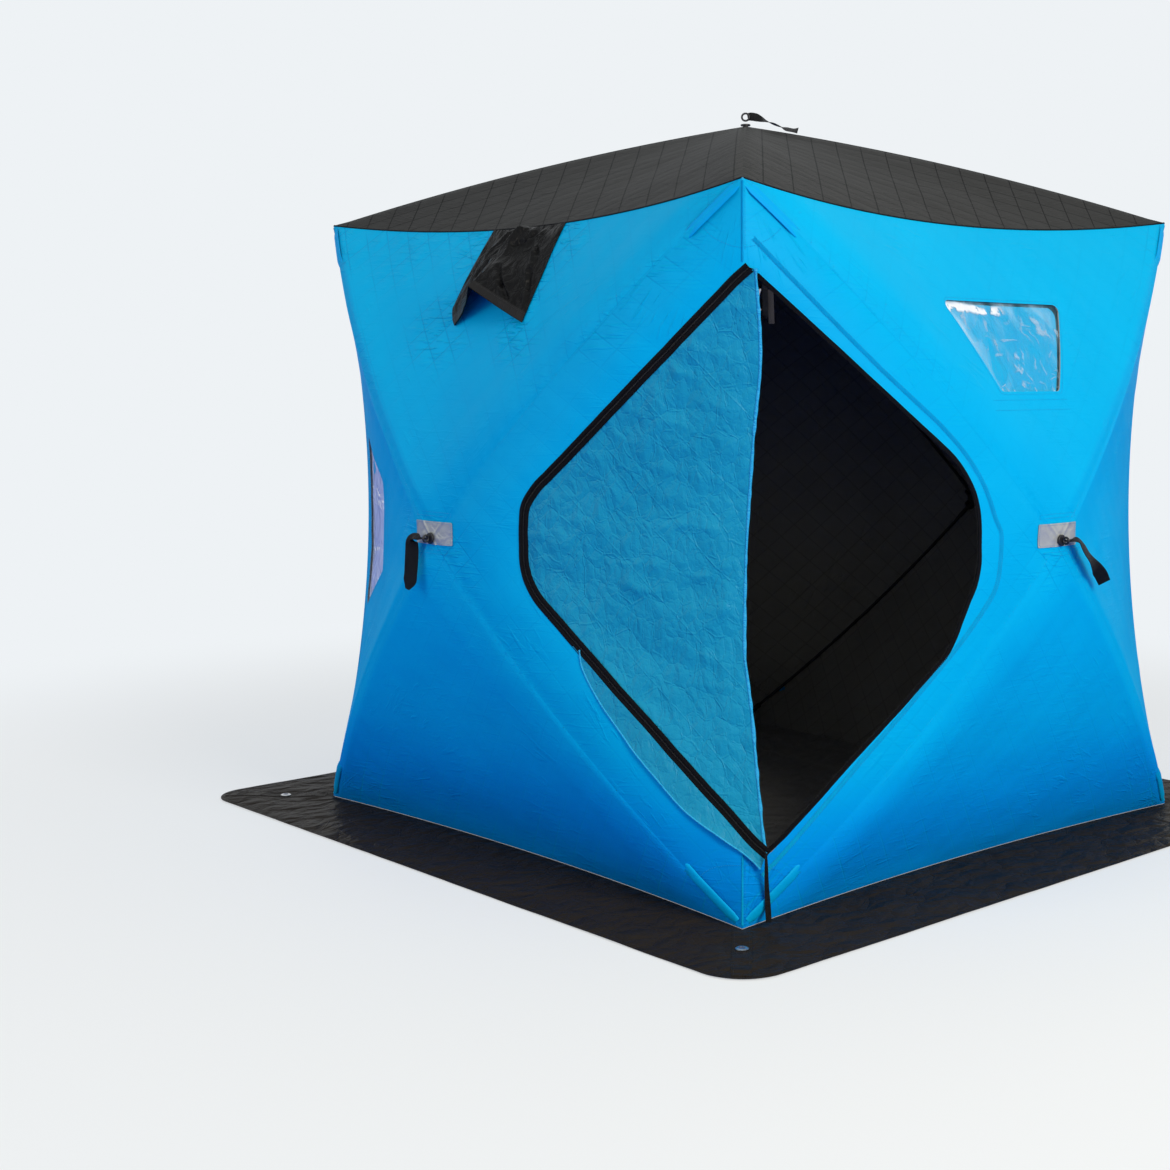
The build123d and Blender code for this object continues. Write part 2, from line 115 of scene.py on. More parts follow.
floor_material, tree = new_material("studio_floor")
place = add(tree, "TexCoord", out="Object")
distance = add(tree, "VectorMath", {0: place}, operation="LENGTH", out="Value")
fade = add(tree, "MapRange", {"Value": distance, "From Min": floor_fade[0], "From Max": floor_fade[1]},
           interpolation_type="SMOOTHSTEP")
rays = add(tree, "LightPath").node.outputs
tone = add(tree, "Mix", {0: rays["Is Camera Ray"], 6: linear(bounce_colour), 7: linear(floor_colour)},
           data_type="RGBA", out=2)
glow = add(tree, "Math", {0: rays["Is Camera Ray"], 1: floor_glow}, operation="MULTIPLY")
lit = add(tree, "BsdfPrincipled", {"Base Color": tone, "Roughness": 0.7, "Specular IOR Level": 0.1,
                                   "Emission Color": linear(backdrop_colour), "Emission Strength": glow})
plain = add(tree, "Emission", {"Color": linear(backdrop_colour), "Strength": 1.0})
dull = add(tree, "BsdfDiffuse", {"Color": linear(bounce_colour)})
far = add(tree, "MixShader", {0: rays["Is Camera Ray"], 1: dull, 2: plain})
mixed = add(tree, "MixShader", {0: fade, 1: lit, 2: far})
add(tree, "OutputMaterial", {"Surface": mixed})

floor_mesh = bpy.data.meshes.new("studio_floor")
floor_turn = [2 * math.pi * i / floor_corners for i in range(floor_corners)]
floor_mesh.from_pydata([(floor_radius * math.cos(a), floor_radius * math.sin(a), floor_height) for a in floor_turn],
                       [], [list(range(floor_corners))])
floor_mesh.materials.append(floor_material)
put_in("studio_floor", floor_mesh)

world = bpy.data.worlds.new("studio")
world.use_nodes = True
tree = world.node_tree
tree.nodes.clear()
rays = add(tree, "LightPath").node.outputs
seen = add(tree, "Math", {0: rays["Is Camera Ray"], 1: rays["Is Glossy Ray"]}, operation="MAXIMUM")
seen = add(tree, "Math", {0: seen, 1: rays["Is Transmission Ray"]}, operation="MAXIMUM")
sky = add(tree, "Background", {"Color": linear(sky_colour), "Strength": sky_strength})
shown = add(tree, "Background", {"Color": linear(backdrop_colour), "Strength": 1.0})
mixed = add(tree, "MixShader", {0: seen, 1: sky, 2: shown})
add(tree, "OutputWorld", {"Surface": mixed})
scene.world = world

lamps = {                   # place, watts, side of the square lamp, colour
    "key": ((6.4, -1.5, 3.3), 285, 2.4, "#FFF9EA"),
    "fill": ((-1.6, -6.0, 3.2), 64, 3.0, "#FFFFFF"),
}
for name, (spot, watts, size, tone) in lamps.items():
    lamp = bpy.data.lights.new(name, "AREA")
    lamp.energy = watts
    lamp.color = linear(tone)[:3]
    lamp.size = size
    carrier = put_in(name, lamp)
    carrier.location = spot
    carrier.rotation_euler = (Vector(lamp_target) - Vector(spot)).to_track_quat("-Z", "Y").to_euler()

# Cloth of the walls: four gores a wall, cut from quilted polyester, blue outside and black
# inside, sewn to each other over the rod pockets and pulled tight between hub and corners.

side = 1.800                # rod foot to rod foot
wall_height = 1.765
roof_rise = 0.300
hub_height = 0.875
hub_pop = 0.257
rod_bow, roof_rod_bow = 0.050, 0.025
corner_draw = 0.079         # how far an upright seam is pulled in midway, along both of its walls
eave_draw = 0.058           # the same for the eaves, inward and down
foot_draw = 0.048           # and for the foot
foot = 0.0033               # height of the lower edge of the walls
cloth = 0.004
hub_hole = 0.0083 * math.sqrt(2)        # from the middle of a hub to where its gores start
half = side / 2
gore_cell = 0.011           # spacing of the points that a gore is drawn with
quilt_pitch = 0.063         # between lines of quilting, which run at 45 degrees to the eaves
quilt_puff = 0.0005
ridge_reach = 0.022         # how far the bend over a rod reaches to each side of it
ridge_drop = 0.0030
ridge_end = 0.03            # from the seam, where that bend has run out
seam_reach = 0.05           # how far a rod or a seam holds the cloth flat
slack_waves = ((0.0030, 0.19), (0.0012, 0.07))  # height and length of the slow waves in slack cloth
soft_ridge, crisp_ridge = 0.17, 0.030   # how far the cloth eases round a rod: beside the door, elsewhere
wall_blue = "#00B8E5"
wall_blue_deep = "#00ACDB"
# painted light: the lining is black, but it is given a pale grey that stands in for the light reaching the inside of
# the hut
lining_black_painted_pale = "#9C9B97"
OUT, UP = np.array([0.0, -1.0, 0.0]), np.array([0.0, 0.0, 1.0])
wall_turns = {"front": 0, "right": 1, "back": 2, "left": 3}


def turned(points, turns):
    """Points turned about the middle of the hut by quarter turns, from the front wall to another."""
    points = np.array(points, float)
    for _ in range(turns):
        points = np.stack([-points[..., 1], points[..., 0], points[..., 2]], axis=-1)
    return points


def gore_net(hub, corner_a, corner_b, outward, bow, draw):
    """Surface net of cloth stretched between two bowed rods and one seam."""
    def off_hub(corner):
        along = corner - hub
        flat = along - outward * along.dot(outward)
        return hub + flat / np.linalg.norm(flat) * hub_hole

    def bowed(start, end, rise):
        return [start, (start + end) / 2 + rise * 2, end]

    near_a, near_b = off_hub(corner_a), off_hub(corner_b)
    edge_a = bowed(near_a, corner_a, outward * bow)
    edge_b = bowed(near_b, corner_b, outward * bow)
    seam = bowed(corner_a, corner_b, np.array(draw))
    near = (near_a + near_b) / 2
    ends = (near_a + near_b + corner_a + corner_b) / 4
    middle = (edge_a[1] + edge_b[1] + near + seam[1]) / 2 - ends
    return np.array([edge_a, [near, middle, seam[1]], edge_b])


def front_gore(place):
    """Net of one gore of the front wall."""
    wall_hub = np.array([0, -half - hub_pop, hub_height])
    corner = {(x, z): np.array([x * half, -half, z]) for x in (-1, 1) for z in (foot, wall_height)}
    start, end, draw = {"left": ((-1, foot), (-1, wall_height), (corner_draw, corner_draw, 0)),
                        "top": ((-1, wall_height), (1, wall_height), (0, eave_draw, -eave_draw)),
                        "right": ((1, wall_height), (1, foot), (-corner_draw, corner_draw, 0)),
                        "bottom": ((1, foot), (-1, foot), (0, foot_draw, 0))}[place]
    return gore_net(wall_hub, corner[start], corner[end], OUT, rod_bow, draw)


def on_gore(net, u, v):
    """Points of a gore: u runs from one rod to the other and v from the hub to the seam."""
    u, v = np.asarray(u)[..., None], np.asarray(v)[..., None]
    across = [(1 - u) ** 2, 2 * u * (1 - u), u ** 2]
    out = [(1 - v) ** 2, 2 * v * (1 - v), v ** 2]
    return sum(across[i] * out[j] * net[i][j] for i in range(3) for j in range(3))


def nearest(points, targets):
    """Which of some flat points is nearest to each target, and how far off it is."""
    tree = kdtree.KDTree(len(points))
    for i, point in enumerate(points):
        tree.insert((*point, 0), i)
    tree.balance()
    found = [tree.find((*target, 0)) for target in targets]
    return np.array([f[1] for f in found]), np.array([f[2] for f in found])


def away_from(points, lines):
    """Distance from each point to the nearest of the points of some lines."""
    return nearest([point for line in lines for point in line], points)[1]


def unit(vectors):
    """Vectors brought to length one."""
    return vectors / np.linalg.norm(vectors, axis=-1, keepdims=True)


def find_on_gore(net, targets, flatten):
    """Where on a gore the flattened surface meets each target, by Newton's method."""
    starts, furthest, tries, longest = 25, 1.06, 12, 0.15
    grid = np.meshgrid(np.linspace(0, 1, starts), np.linspace(0, furthest, starts), indexing="ij")
    grid = np.stack(grid, -1).reshape(-1, 2)
    found = grid[nearest(flatten(on_gore(net, *grid.T)), targets)[0]]
    step = 1e-4
    for _ in range(tries):
        u, v = found.T
        here = flatten(on_gore(net, u, v))
        by_u = (flatten(on_gore(net, u + step, v)) - here) / step
        by_v = (flatten(on_gore(net, u, v + step)) - here) / step
        miss = targets - here
        scale = by_u[:, 0] * by_v[:, 1] - by_u[:, 1] * by_v[:, 0]
        scale = np.where(np.abs(scale) < 1e-9, 1e-9, scale)
        move = np.stack([miss[:, 0] * by_v[:, 1] - miss[:, 1] * by_v[:, 0],
                         by_u[:, 0] * miss[:, 1] - by_u[:, 1] * miss[:, 0]], -1) / scale[:, None]
        found = np.clip(found + np.clip(move, -longest, longest), -longest, 1 + longest)
    return found


def gore_up(net, found, outward):
    """Unit normals of a gore, outwards."""
    u, v = found.T
    u, v = np.clip(u, 0.01, 0.98), np.clip(v, 0.02, 1.1)
    here = on_gore(net, u, v)
    up = np.cross(on_gore(net, u + 1e-3, v) - here, on_gore(net, u, v + 1e-3) - here)
    up = unit(up)
    return up * np.sign(up @ outward)[:, None]


def wall_flat(points):
    """Across and up: the front wall seen square on."""
    return np.asarray(points)[..., [0, 2]]


def door_flat(points):
    """Across the door corner and up, for the front wall."""
    points = np.asarray(points)
    return np.stack([(points[..., 0] + points[..., 1]) / math.sqrt(2), points[..., 2]], -1)


def rounded(corners, radii, step=0.008):
    """Points along a closed outline whose corners are rounded."""
    corners = [np.array(c, float) for c in corners]
    ends = []
    for i, (corner, radius) in enumerate(zip(corners, radii)):
        before, after = corners[i - 1] - corner, corners[(i + 1) % len(corners)] - corner
        before, after = before / np.linalg.norm(before), after / np.linalg.norm(after)
        angle = math.acos(np.clip(before.dot(after), -1, 1))
        reach = radius / math.tan(angle / 2)
        centre = corner + (before + after) / np.linalg.norm(before + after) * radius / math.sin(angle / 2)
        first, last = corner + before * reach - centre, corner + after * reach - centre
        start = math.atan2(first[1], first[0])
        sweep = (math.atan2(last[1], last[0]) - start + math.pi) % (2 * math.pi) - math.pi
        count = max(2, int(abs(sweep) * radius / step))
        turns = start + sweep * np.linspace(0, 1, count + 1)
        ends.append(centre + radius * np.stack([np.cos(turns), np.sin(turns)], -1))
    points = []
    for i, arc in enumerate(ends):
        points.extend(arc)
        onward = ends[(i + 1) % len(ends)][0]
        count = int(np.linalg.norm(onward - arc[-1]) / step)
        points.extend(arc[-1] + (onward - arc[-1]) * t for t in np.linspace(0, 1, count + 2)[1:-1])
    return np.array(points)


def inside(points, outline):
    """Which points lie inside a closed outline."""
    x, y = points[:, 0:1], points[:, 1:2]
    x1, y1 = outline[:, 0], outline[:, 1]
    x2, y2 = np.roll(x1, -1), np.roll(y1, -1)
    crosses = (y1 > y) != (y2 > y)
    with np.errstate(divide="ignore", invalid="ignore"):
        where = x1 + (y - y1) * (x2 - x1) / (y2 - y1)
    return (np.sum(crosses & (x < where), axis=1) % 2) == 1


def closed(line):
    """A line brought back to its first point."""
    return np.concatenate([line, line[:1]])


def oblong(low, high, radius, step=0.008):
    """An upright oblong with rounded corners, from its low and high corners."""
    return rounded([low, (high[0], low[1]), high, (low[0], high[1])], [radius] * 4, step)


def hole_line(middle, radius, count):
    """Points round a circle."""
    turn = np.linspace(0, 2 * math.pi, count, endpoint=False)
    return np.array(middle) + radius * np.stack([np.cos(turn), np.sin(turn)], -1)


def cut_pattern(outline, cell, slits=(), holes=()):
    """Flat triangles inside an outline and outside its holes, with edges along its slits."""
    low, high = outline.min(0), outline.max(0)
    rows = np.arange(low[1], high[1] + cell, cell * math.sqrt(3) / 2)
    inner = []
    for i, row in enumerate(rows):
        across = np.arange(low[0] + (cell / 2 if i % 2 else 0), high[0] + cell, cell)
        inner.append(np.stack([across, np.full(len(across), row)], -1))
    inner = np.concatenate(inner)
    inner = inner[inside(inner, outline)]
    inner = inner[away_from(inner, [closed(outline), *slits]) > cell * 0.55]
    points, edges = list(outline), [(i, (i + 1) % len(outline)) for i in range(len(outline))]
    for slit in slits:
        edges += [(len(points) + i, len(points) + i + 1) for i in range(len(slit) - 1)]
        points += list(slit)
    points += list(inner)
    made = delaunay_2d_cdt([Vector(p) for p in points], edges, [], 0, 1e-6)
    flat = np.array([tuple(p) for p in made[0]])
    triangles = np.array([tuple(face) for face in made[2]])
    middles = flat[triangles].mean(1)
    wanted = inside(middles, outline)
    for hole in holes:
        wanted &= ~inside(middles, hole)
    used, triangles = np.unique(triangles[wanted], return_inverse=True)
    triangles = triangles.reshape(-1, 3)
    flat = flat[used]
    a, b, c = (flat[triangles[:, k]] for k in range(3))
    turn = (b - a)[:, 0] * (c - a)[:, 1] - (b - a)[:, 1] * (c - a)[:, 0]
    triangles[turn < 0] = triangles[turn < 0][:, ::-1]
    return flat, triangles


def noise(across, up, size, seed):
    """Smooth random heights from -1 to 1, with lumps of the given size."""
    table = np.random.default_rng(seed).uniform(-1, 1, (64, 64))
    x, y = across / size + 17.3, up / size + 41.7
    x0, y0 = np.floor(x).astype(int), np.floor(y).astype(int)
    fx, fy = x - x0, y - y0
    fx, fy = fx * fx * (3 - 2 * fx), fy * fy * (3 - 2 * fy)
    x1, y1 = (x0 + 1) % 64, (y0 + 1) % 64
    x0, y0 = x0 % 64, y0 % 64
    low = table[x0, y0] * (1 - fx) + table[x1, y0] * fx
    high = table[x0, y1] * (1 - fx) + table[x1, y1] * fx
    return low * (1 - fy) + high * fy


def facing_out(points, triangles, outward):
    """Triangles, turned over if they look inward."""
    a, b, c = (points[triangles[:, k]] for k in range(3))
    return triangles[:, ::-1] if np.cross(b - a, c - a).sum(0).dot(outward) < 0 else triangles


def near_line(flat, start, end):
    """Distance of flat points from a straight line between two points."""
    start, end = np.array(start), np.array(end)
    along = end - start
    t = np.clip(((flat - start) @ along) / (along @ along), 0, 1)
    return np.linalg.norm(flat - start - t[:, None] * along, axis=1)


def corner_points(mesh):
    """The point at each corner of each face."""
    spots = np.zeros(len(mesh.loops), np.int32)
    mesh.loops.foreach_get("vertex_index", spots)
    return spots


def put_map(mesh, name, values):
    """A UV map of a mesh from a pair of values at each point."""
    values = values[corner_points(mesh)].astype(np.float32).ravel()
    mesh.uv_layers.new(name=name).data.foreach_set("uv", values)


def eased(mesh, normals, triangles):
    """Give a closed sheet normals on both faces, the inner ones turned over; its rim keeps its own."""
    turns = np.zeros((len(mesh.loops), 3))
    outer_part, inner_part = len(triangles) * 3, len(triangles) * 6
    spots = corner_points(mesh)
    turns[:outer_part] = normals[spots[:outer_part]]
    turns[outer_part:inner_part] = -normals[spots[outer_part:inner_part] - len(normals)]
    mesh.normals_split_custom_set(turns.tolist())


def sewn_sheet(name, outer, inner, triangles, materials, maps, ease=None):
    """A closed sheet from matching outer and inner points; its rim and inside take the second material."""
    count = len(outer)
    edges = np.concatenate([triangles[:, [0, 1]], triangles[:, [1, 2]], triangles[:, [2, 0]]])
    keys = {(a, b) for a, b in edges.tolist()}
    rim = np.array([(a, b) for a, b in edges.tolist() if (b, a) not in keys])
    faces = triangles.tolist() + (triangles[:, ::-1] + count).tolist()
    faces += [[b, a, a + count, b + count] for a, b in rim.tolist()]
    mesh = bpy.data.meshes.new(name)
    mesh.from_pydata(np.concatenate([outer, inner]).tolist(), [], faces)
    for material in materials:
        mesh.materials.append(material)
    slots = np.zeros(len(faces), np.int32)
    slots[len(triangles):] = len(materials) - 1
    mesh.polygons.foreach_set("material_index", slots)
    for map_name, values in maps.items():
        put_map(mesh, map_name, np.concatenate([values, values]))
    mesh.polygons.foreach_set("use_smooth", np.ones(len(faces), bool))
    mesh.set_sharp_from_angle(angle=math.radians(50))
    mesh.update()
    if ease is not None:
        a, b, c = (outer[triangles[:, k]] for k in range(3))
        flat_ups = np.cross(b - a, c - a)
        ups = np.zeros((count, 3))
        for k in range(3):
            np.add.at(ups, triangles[:, k], flat_ups)
        ups = unit(unit(ups) + ease)
        eased(mesh, ups, triangles)
    return put_in(name, mesh)


def shared(tree, *ranges, most=1.0):
    """The product of several eased ranges: each is a value, where it starts and ends, and what that gives."""
    total = most
    for value, low, high, to_low, to_high in ranges:
        part = add(tree, "MapRange", {"Value": value, "From Min": low, "From Max": high, "To Min": to_low,
                                      "To Max": to_high}, interpolation_type="SMOOTHSTEP")
        total = add(tree, "Math", {0: total, 1: part}, operation="MULTIPLY")
    return total


def painted(tree, base, *layers):
    """A base colour with others laid over it; each layer is its share and its colour."""
    shown = linear(base)
    for share, colour in layers:
        shown = add(tree, "Mix", {0: share, 6: shown, 7: linear(colour)}, data_type="RGBA", out=2)
    return shown


def finished(material, tree, colour, height, strength, depth, **finish):
    """End a material with its colour, the relief that a height gives, and the rest of its finish."""
    bump = add(tree, "Bump", {"Height": height, "Strength": strength, "Distance": depth})
    finish = {name.replace("_", " "): value for name, value in finish.items()}
    skin = add(tree, "BsdfPrincipled", {"Base Color": colour, "Normal": bump, **finish})
    add(tree, "OutputMaterial", {"Surface": skin})
    return material


def quilted_cloth(name, outer_colour, deep_colour, seam_colour, pitch, crumple, roughness, specular, tight, puffed,
                  foot_shade_colour=None):
    """Woven polyester with a satin face, quilted in squares and creased where it is pulled. tight is how far the
    quilting still shows where the cloth is stretched, and puffed how high its squares stand."""
    material, tree = new_material(name)
    flat, pull, shares = (add(tree, "UVMap", uv_map=kind) for kind in ("flat", "pull", "slack"))
    turned_flat = add(tree, "Mapping", {"Vector": flat, "Rotation": (0, 0, math.radians(45))})
    split = add(tree, "SeparateXYZ", {"Vector": turned_flat}).node.outputs
    lines, puffs = [], []
    for axis in ("X", "Y"):
        off = add(tree, "Math", {0: split[axis], 1: pitch / 2}, operation="PINGPONG")
        lines.append(shared(tree, (off, 0.0003, 0.0030, 1.0, 0.0)))
        puffs.append(add(tree, "MapRange", {"Value": off, "From Min": 0.0, "From Max": pitch / 2},
                         interpolation_type="SMOOTHERSTEP"))
    line = add(tree, "Math", {0: lines[0], 1: lines[1]}, operation="MAXIMUM")
    puff = add(tree, "Math", {0: puffs[0], 1: puffs[1]}, operation="MULTIPLY")
    shares = add(tree, "SeparateXYZ", {"Vector": shares}).node.outputs
    loose = shares["X"]
    noises = []
    for vector, values in ((add(tree, "Mapping", {"Vector": pull, "Scale": (9.0, 60.0, 1.0)}),
                            {"Scale": 1.0, "Detail": 3.0, "Roughness": 0.55, "Distortion": 0.35}),
                           (add(tree, "Mapping", {"Vector": flat, "Scale": (13.0, 95.0, 1.0)}),
                            {"Scale": 1.0, "Detail": 2.0, "Distortion": 0.7}), (flat, {"Scale": 5.5, "Detail": 1.0}),
                           (flat, {"Scale": 900.0, "Detail": 1.0}), (flat, {"Scale": 3.0, "Detail": 4.0})):
        noises.append(add(tree, "TexNoise", {"Vector": vector, **values}, noise_dimensions="2D"))
    creases, fine, slack, weave, tone = noises
    slack = add(tree, "MapRange", {"Value": slack, "From Min": 0.42, "From Max": 0.66})
    slack = add(tree, "Math", {0: slack, 1: shares["Y"]}, operation="MULTIPLY")
    ridged = shared(tree, (creases, 0.56, 0.72, 0.0, 1.0), most=slack)
    fine = shared(tree, (fine, 0.50, 0.70, 0.0, 1.0), most=loose)
    height = add(tree, "Math", {0: puff, 1: puffed}, operation="MULTIPLY")
    height = add(tree, "Math", {0: line, 1: -0.5 * puffed, 2: height}, operation="MULTIPLY_ADD")
    sewn = add(tree, "MapRange", {"Value": loose, "From Min": 0.05, "From Max": 0.55, "To Min": tight})
    height = add(tree, "Math", {0: height, 1: sewn}, operation="MULTIPLY")
    for part, depth in ((fine, 0.0021), (ridged, crumple), (weave, 0.00012)):
        height = add(tree, "Math", {0: part, 1: depth, 2: height}, operation="MULTIPLY_ADD")
    layers = [(tone, deep_colour)]
    # painted shade: a deeper blue over the foot of the cloth, full up to 0.04 m above the ice and gone by 0.42 m, for
    # the bluer shade near the ice
    if foot_shade_colour:
        above = add(tree, "SeparateXYZ", {"Vector": add(tree, "TexCoord", out="Object")}, out="Z")
        layers.append((shared(tree, (above, 0.04, 0.42, 1.0, 0.0)), foot_shade_colour))
    layers.append((add(tree, "Math", {0: line, 1: sewn}, operation="MULTIPLY"), seam_colour))
    return finished(material, tree, painted(tree, outer_colour, *layers), height, 1.0, 1.0, Roughness=roughness,
                    Specular_IOR_Level=specular)


# the wall's last colour is painted shade: a deeper blue at the foot of the walls
wall_material = quilted_cloth("quilted_blue_polyester", wall_blue, wall_blue_deep, "#00A2D4", quilt_pitch, 0.0008,
                              0.46, 0.045, 0.14, 0.0013, "#0094EC")
# the lining's pale greys are painted light over black cloth
lining_material = quilted_cloth("black_thermal_lining_painted_pale", lining_black_painted_pale, "#8C8B87", "#7C7A76", quilt_pitch, 0.0022,
                                0.45, 0.10, 0.7, 0.0014)

door_corners = [(0.016, 1.562), (-0.552, 0.983), (-0.552, 0.781), (0.058, 0.162), (0.515, 0.612), (0.598, 0.800),
                (0.598, 1.038)]
door_line = rounded(door_corners, [0.014, 0.110, 0.180, 0.014, 0.150, 0.200, 0.290])
window_near, window_far = 0.384, 0.620
window_corners = [(-0.125, window_near), (0.125, window_near), (0.253, window_far), (-0.253, window_far)]
window_line = rounded(window_corners, [0.014] * 4)
vent_top = wall_height - eave_draw - 0.045
vent_line = oblong((-0.1, vent_top - 0.09), (0.1, vent_top), 0.0225)


def gore_outline(net, flatten, cell):
    """The edges of a gore as a closed flat outline: two rods, the seam, and the short edge at the hub."""
    steps = np.linspace(0, 1, int(1.25 / cell))
    across = np.linspace(0, 1, int(1.8 / cell))
    run = [on_gore(net, np.zeros_like(steps), steps), on_gore(net, across[1:-1], np.ones(len(across) - 2)),
           on_gore(net, np.ones_like(steps), steps[::-1])]
    return flatten(np.concatenate(run))


def smooth_share(values):
    """A share that eases in from 0 and out to 1."""
    values = np.clip(values, 0, 1)
    return values * values * (3 - 2 * values)


def cloth_rise(net, flatten, flat, seed):
    """How far the outer face stands off the plain gore: quilted puffs, slack, and the bend over each rod."""
    hub_flat = flatten(net[0][0] / 2 + net[2][0] / 2)
    rod = np.minimum(near_line(flat, hub_flat, flatten(net[0][2])), near_line(flat, hub_flat, flatten(net[2][2])))
    seam = away_from(flat, [flatten(on_gore(net, np.linspace(0, 1, 400), np.ones(400)))])
    slant = (flat[:, 0] + flat[:, 1]) / math.sqrt(2), (flat[:, 0] - flat[:, 1]) / math.sqrt(2)
    puff = np.abs(np.sin(math.pi * slant[0] / quilt_pitch) * np.sin(math.pi * slant[1] / quilt_pitch)) ** 0.7
    fade_in = smooth_share(np.minimum(rod, seam) / seam_reach)
    rise = quilt_puff * puff * fade_in
    for number, (depth, length) in enumerate(slack_waves):
        rise += depth * noise(flat[:, 0], flat[:, 1], length, seed + number) * fade_in
    bend = np.clip(1 - rod / ridge_reach, 0, 1)
    return rise - ridge_drop * bend ** 2 * np.clip(seam / ridge_end, 0, 1)


def rod_ease(net, others, flatten, flat, found, outward, reaches):
    """How the face turns as the cloth eases over its two rods into the gores beside it."""
    hub_flat = flatten(net[0][0] / 2 + net[2][0] / 2)
    total, shares = np.zeros((len(flat), 3)), np.zeros(len(flat))
    for edge, other, reach in zip((0, 1), others, reaches):
        rod = near_line(flat, hub_flat, flatten(net[2 * edge][2]))
        along = np.clip(found[:, 1], 0.03, 0.97)
        mine = gore_up(net, np.stack([np.full(len(flat), float(edge)), along], -1), outward)
        beyond = gore_up(other, np.stack([np.full(len(flat), 1.0 - edge), along], -1), outward)
        share = smooth_share(1 - rod / reach)
        total += share[:, None] * (unit(mine + beyond) - mine)
        shares += share
    return total / np.maximum(shares, 1)[:, None]


corner_gap, mean_reach = 7.0, 0.55      # set the creases of two corners apart; the radius they are drawn at


def make_gore(name, net, flatten, outward, turns, seed, materials, others, reaches, rucks, holes=(), door=False):
    """One gore as a closed quilted sheet, with its openings cut; rucks are lines that fine wrinkles gather at."""
    outline = gore_outline(net, flatten, gore_cell)
    slits = [closed(hole) for hole in holes]
    if door:
        across_sign = 1 if door == "front" else -1
        near = door_line * [across_sign, 1]
        near = near[near[:, 0] < 0.06]
        start = np.argmax(np.linalg.norm(near - np.roll(near, 1, axis=0), axis=1))
        near = np.roll(near, -start, axis=0)
        look = door_flat if door == "front" else other_door_flat
        found = find_on_gore(net, near, look)
        slits = [flatten(on_gore(net, *found.T))]
    flat, triangles = cut_pattern(outline, gore_cell, slits, holes)
    found = find_on_gore(net, flat, flatten)
    points = on_gore(net, *found.T)
    if door:
        middles = look(points)[triangles].mean(1)
        triangles = triangles[~inside(middles, door_line * [across_sign, 1])]
        used, triangles = np.unique(triangles, return_inverse=True)
        triangles, flat, points, found = triangles.reshape(-1, 3), flat[used], points[used], found[used]
    rise = cloth_rise(net, flatten, flat, seed)
    outer = points + rise[:, None] * outward
    inner = outer - outward * cloth
    corner_a, corner_b = flatten(net[0][2]), flatten(net[2][2])
    to_a, to_b = (np.linalg.norm(flat - corner, axis=1) for corner in (corner_a, corner_b))
    second = np.where(to_a < to_b, 0, 1)
    away = flat - np.where(second[:, None] == 0, corner_a, corner_b)
    reach = np.linalg.norm(away, axis=1)
    pull = np.stack([reach + second * corner_gap, np.arctan2(away[:, 1], away[:, 0]) * mean_reach], -1)
    pulled = np.clip(np.abs(to_a - to_b) / 0.30 - 0.15, 0, 1)
    triangles = facing_out(outer, triangles, outward)
    shift = np.array([seed * 0.37, seed * 0.11])
    ease = turned(rod_ease(net, others, flatten, flat, found, outward, reaches), turns)
    slack = np.full(len(flat), 0.10)
    for start, end, reach, strength in rucks:
        slack = np.maximum(slack, strength * np.clip(1 - near_line(flat, start, end) / reach, 0, 1))
    slack *= np.clip(0.75 + 0.9 * noise(flat[:, 0], flat[:, 1], 0.09, seed + 2), 0, 1.3)
    return sewn_sheet(name, turned(outer, turns), turned(inner, turns), triangles, materials,
                      {"flat": flat + shift, "pull": pull + shift, "slack": np.stack([slack, pulled], -1)}, ease)


def other_door_flat(points):
    """Across the door corner and up, for the right wall turned back to the front; across is flipped."""
    points = np.asarray(points)
    return np.stack([-(points[..., 0] - points[..., 1]) / math.sqrt(2), points[..., 2]], -1)


def fitted(piece, finish, *nodes):
    """Say what a piece rides on, and hide the plain solids that it takes the place of; finish is not used."""
    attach(piece, "root")
    if nodes:
        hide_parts(*nodes)


# lines where fine wrinkles gather: two ends, how far they reach, how strong they are
by_hood = [((-0.150, 1.70), (-0.168, 1.45), 0.18, 1.3), ((0.176, 1.70), (0.180, 1.45), 0.18, 1.3),
           ((-0.85, 1.70), (-0.15, 1.70), 0.20, 0.7)]
by_feet = [((x * 0.86, 0.04), (x * 0.62, 0.10), 0.20, 0.25) for x in (-1, 1)]
by_hub = [((-0.10, hub_height - 0.04), (0.10, hub_height - 0.04), 0.14, 0.5)]
by_top_rod = [((0.83, 1.70), (0.40, 1.27), 0.12, 0.35), ((-0.83, 1.70), (-0.40, 1.27), 0.12, 0.28)]
gore_holes = {("front", "top"): [vent_line], ("right", "top"): [window_line + [0, hub_height]],
              ("front", "left"): [np.stack([-window_line[:, 1], hub_height + window_line[:, 0]], -1)]}
places = ("left", "top", "right", "bottom")
seeds = {}
for wall, turns in wall_turns.items():
    for number, place in enumerate(places):
        facing = "front" if wall in ("front", "back") else "right"
        holes = gore_holes.get((facing, place), [])
        door = {("front", "right"): "front", ("right", "left"): "right"}.get((wall, place), False)
        seeds[wall, place] = 1 + number + 5 * turns
        others = [front_gore(places[number - 1]), front_gore(places[(number + 1) % 4])]
        by_door = {"front": ((1, "top"), (0, "right"), (1, "right"), (0, "bottom")),
                   "right": ((0, "left"), (1, "left"), (0, "top"), (1, "bottom"))}.get(wall, ())
        reaches = [soft_ridge if (edge, place) in by_door else crisp_ridge for edge in (0, 1)]
        piece = make_gore(f"{wall}_wall_{place}_cloth", front_gore(place), wall_flat, OUT, turns, seeds[wall, place],
                          [wall_material, lining_material], others, reaches,
                          by_feet + by_hub + by_top_rod + (by_hood if wall in ("front", "back") else []), holes, door)
        fitted(piece, "wall_cloth", f"{wall}_wall_{place}_panel")


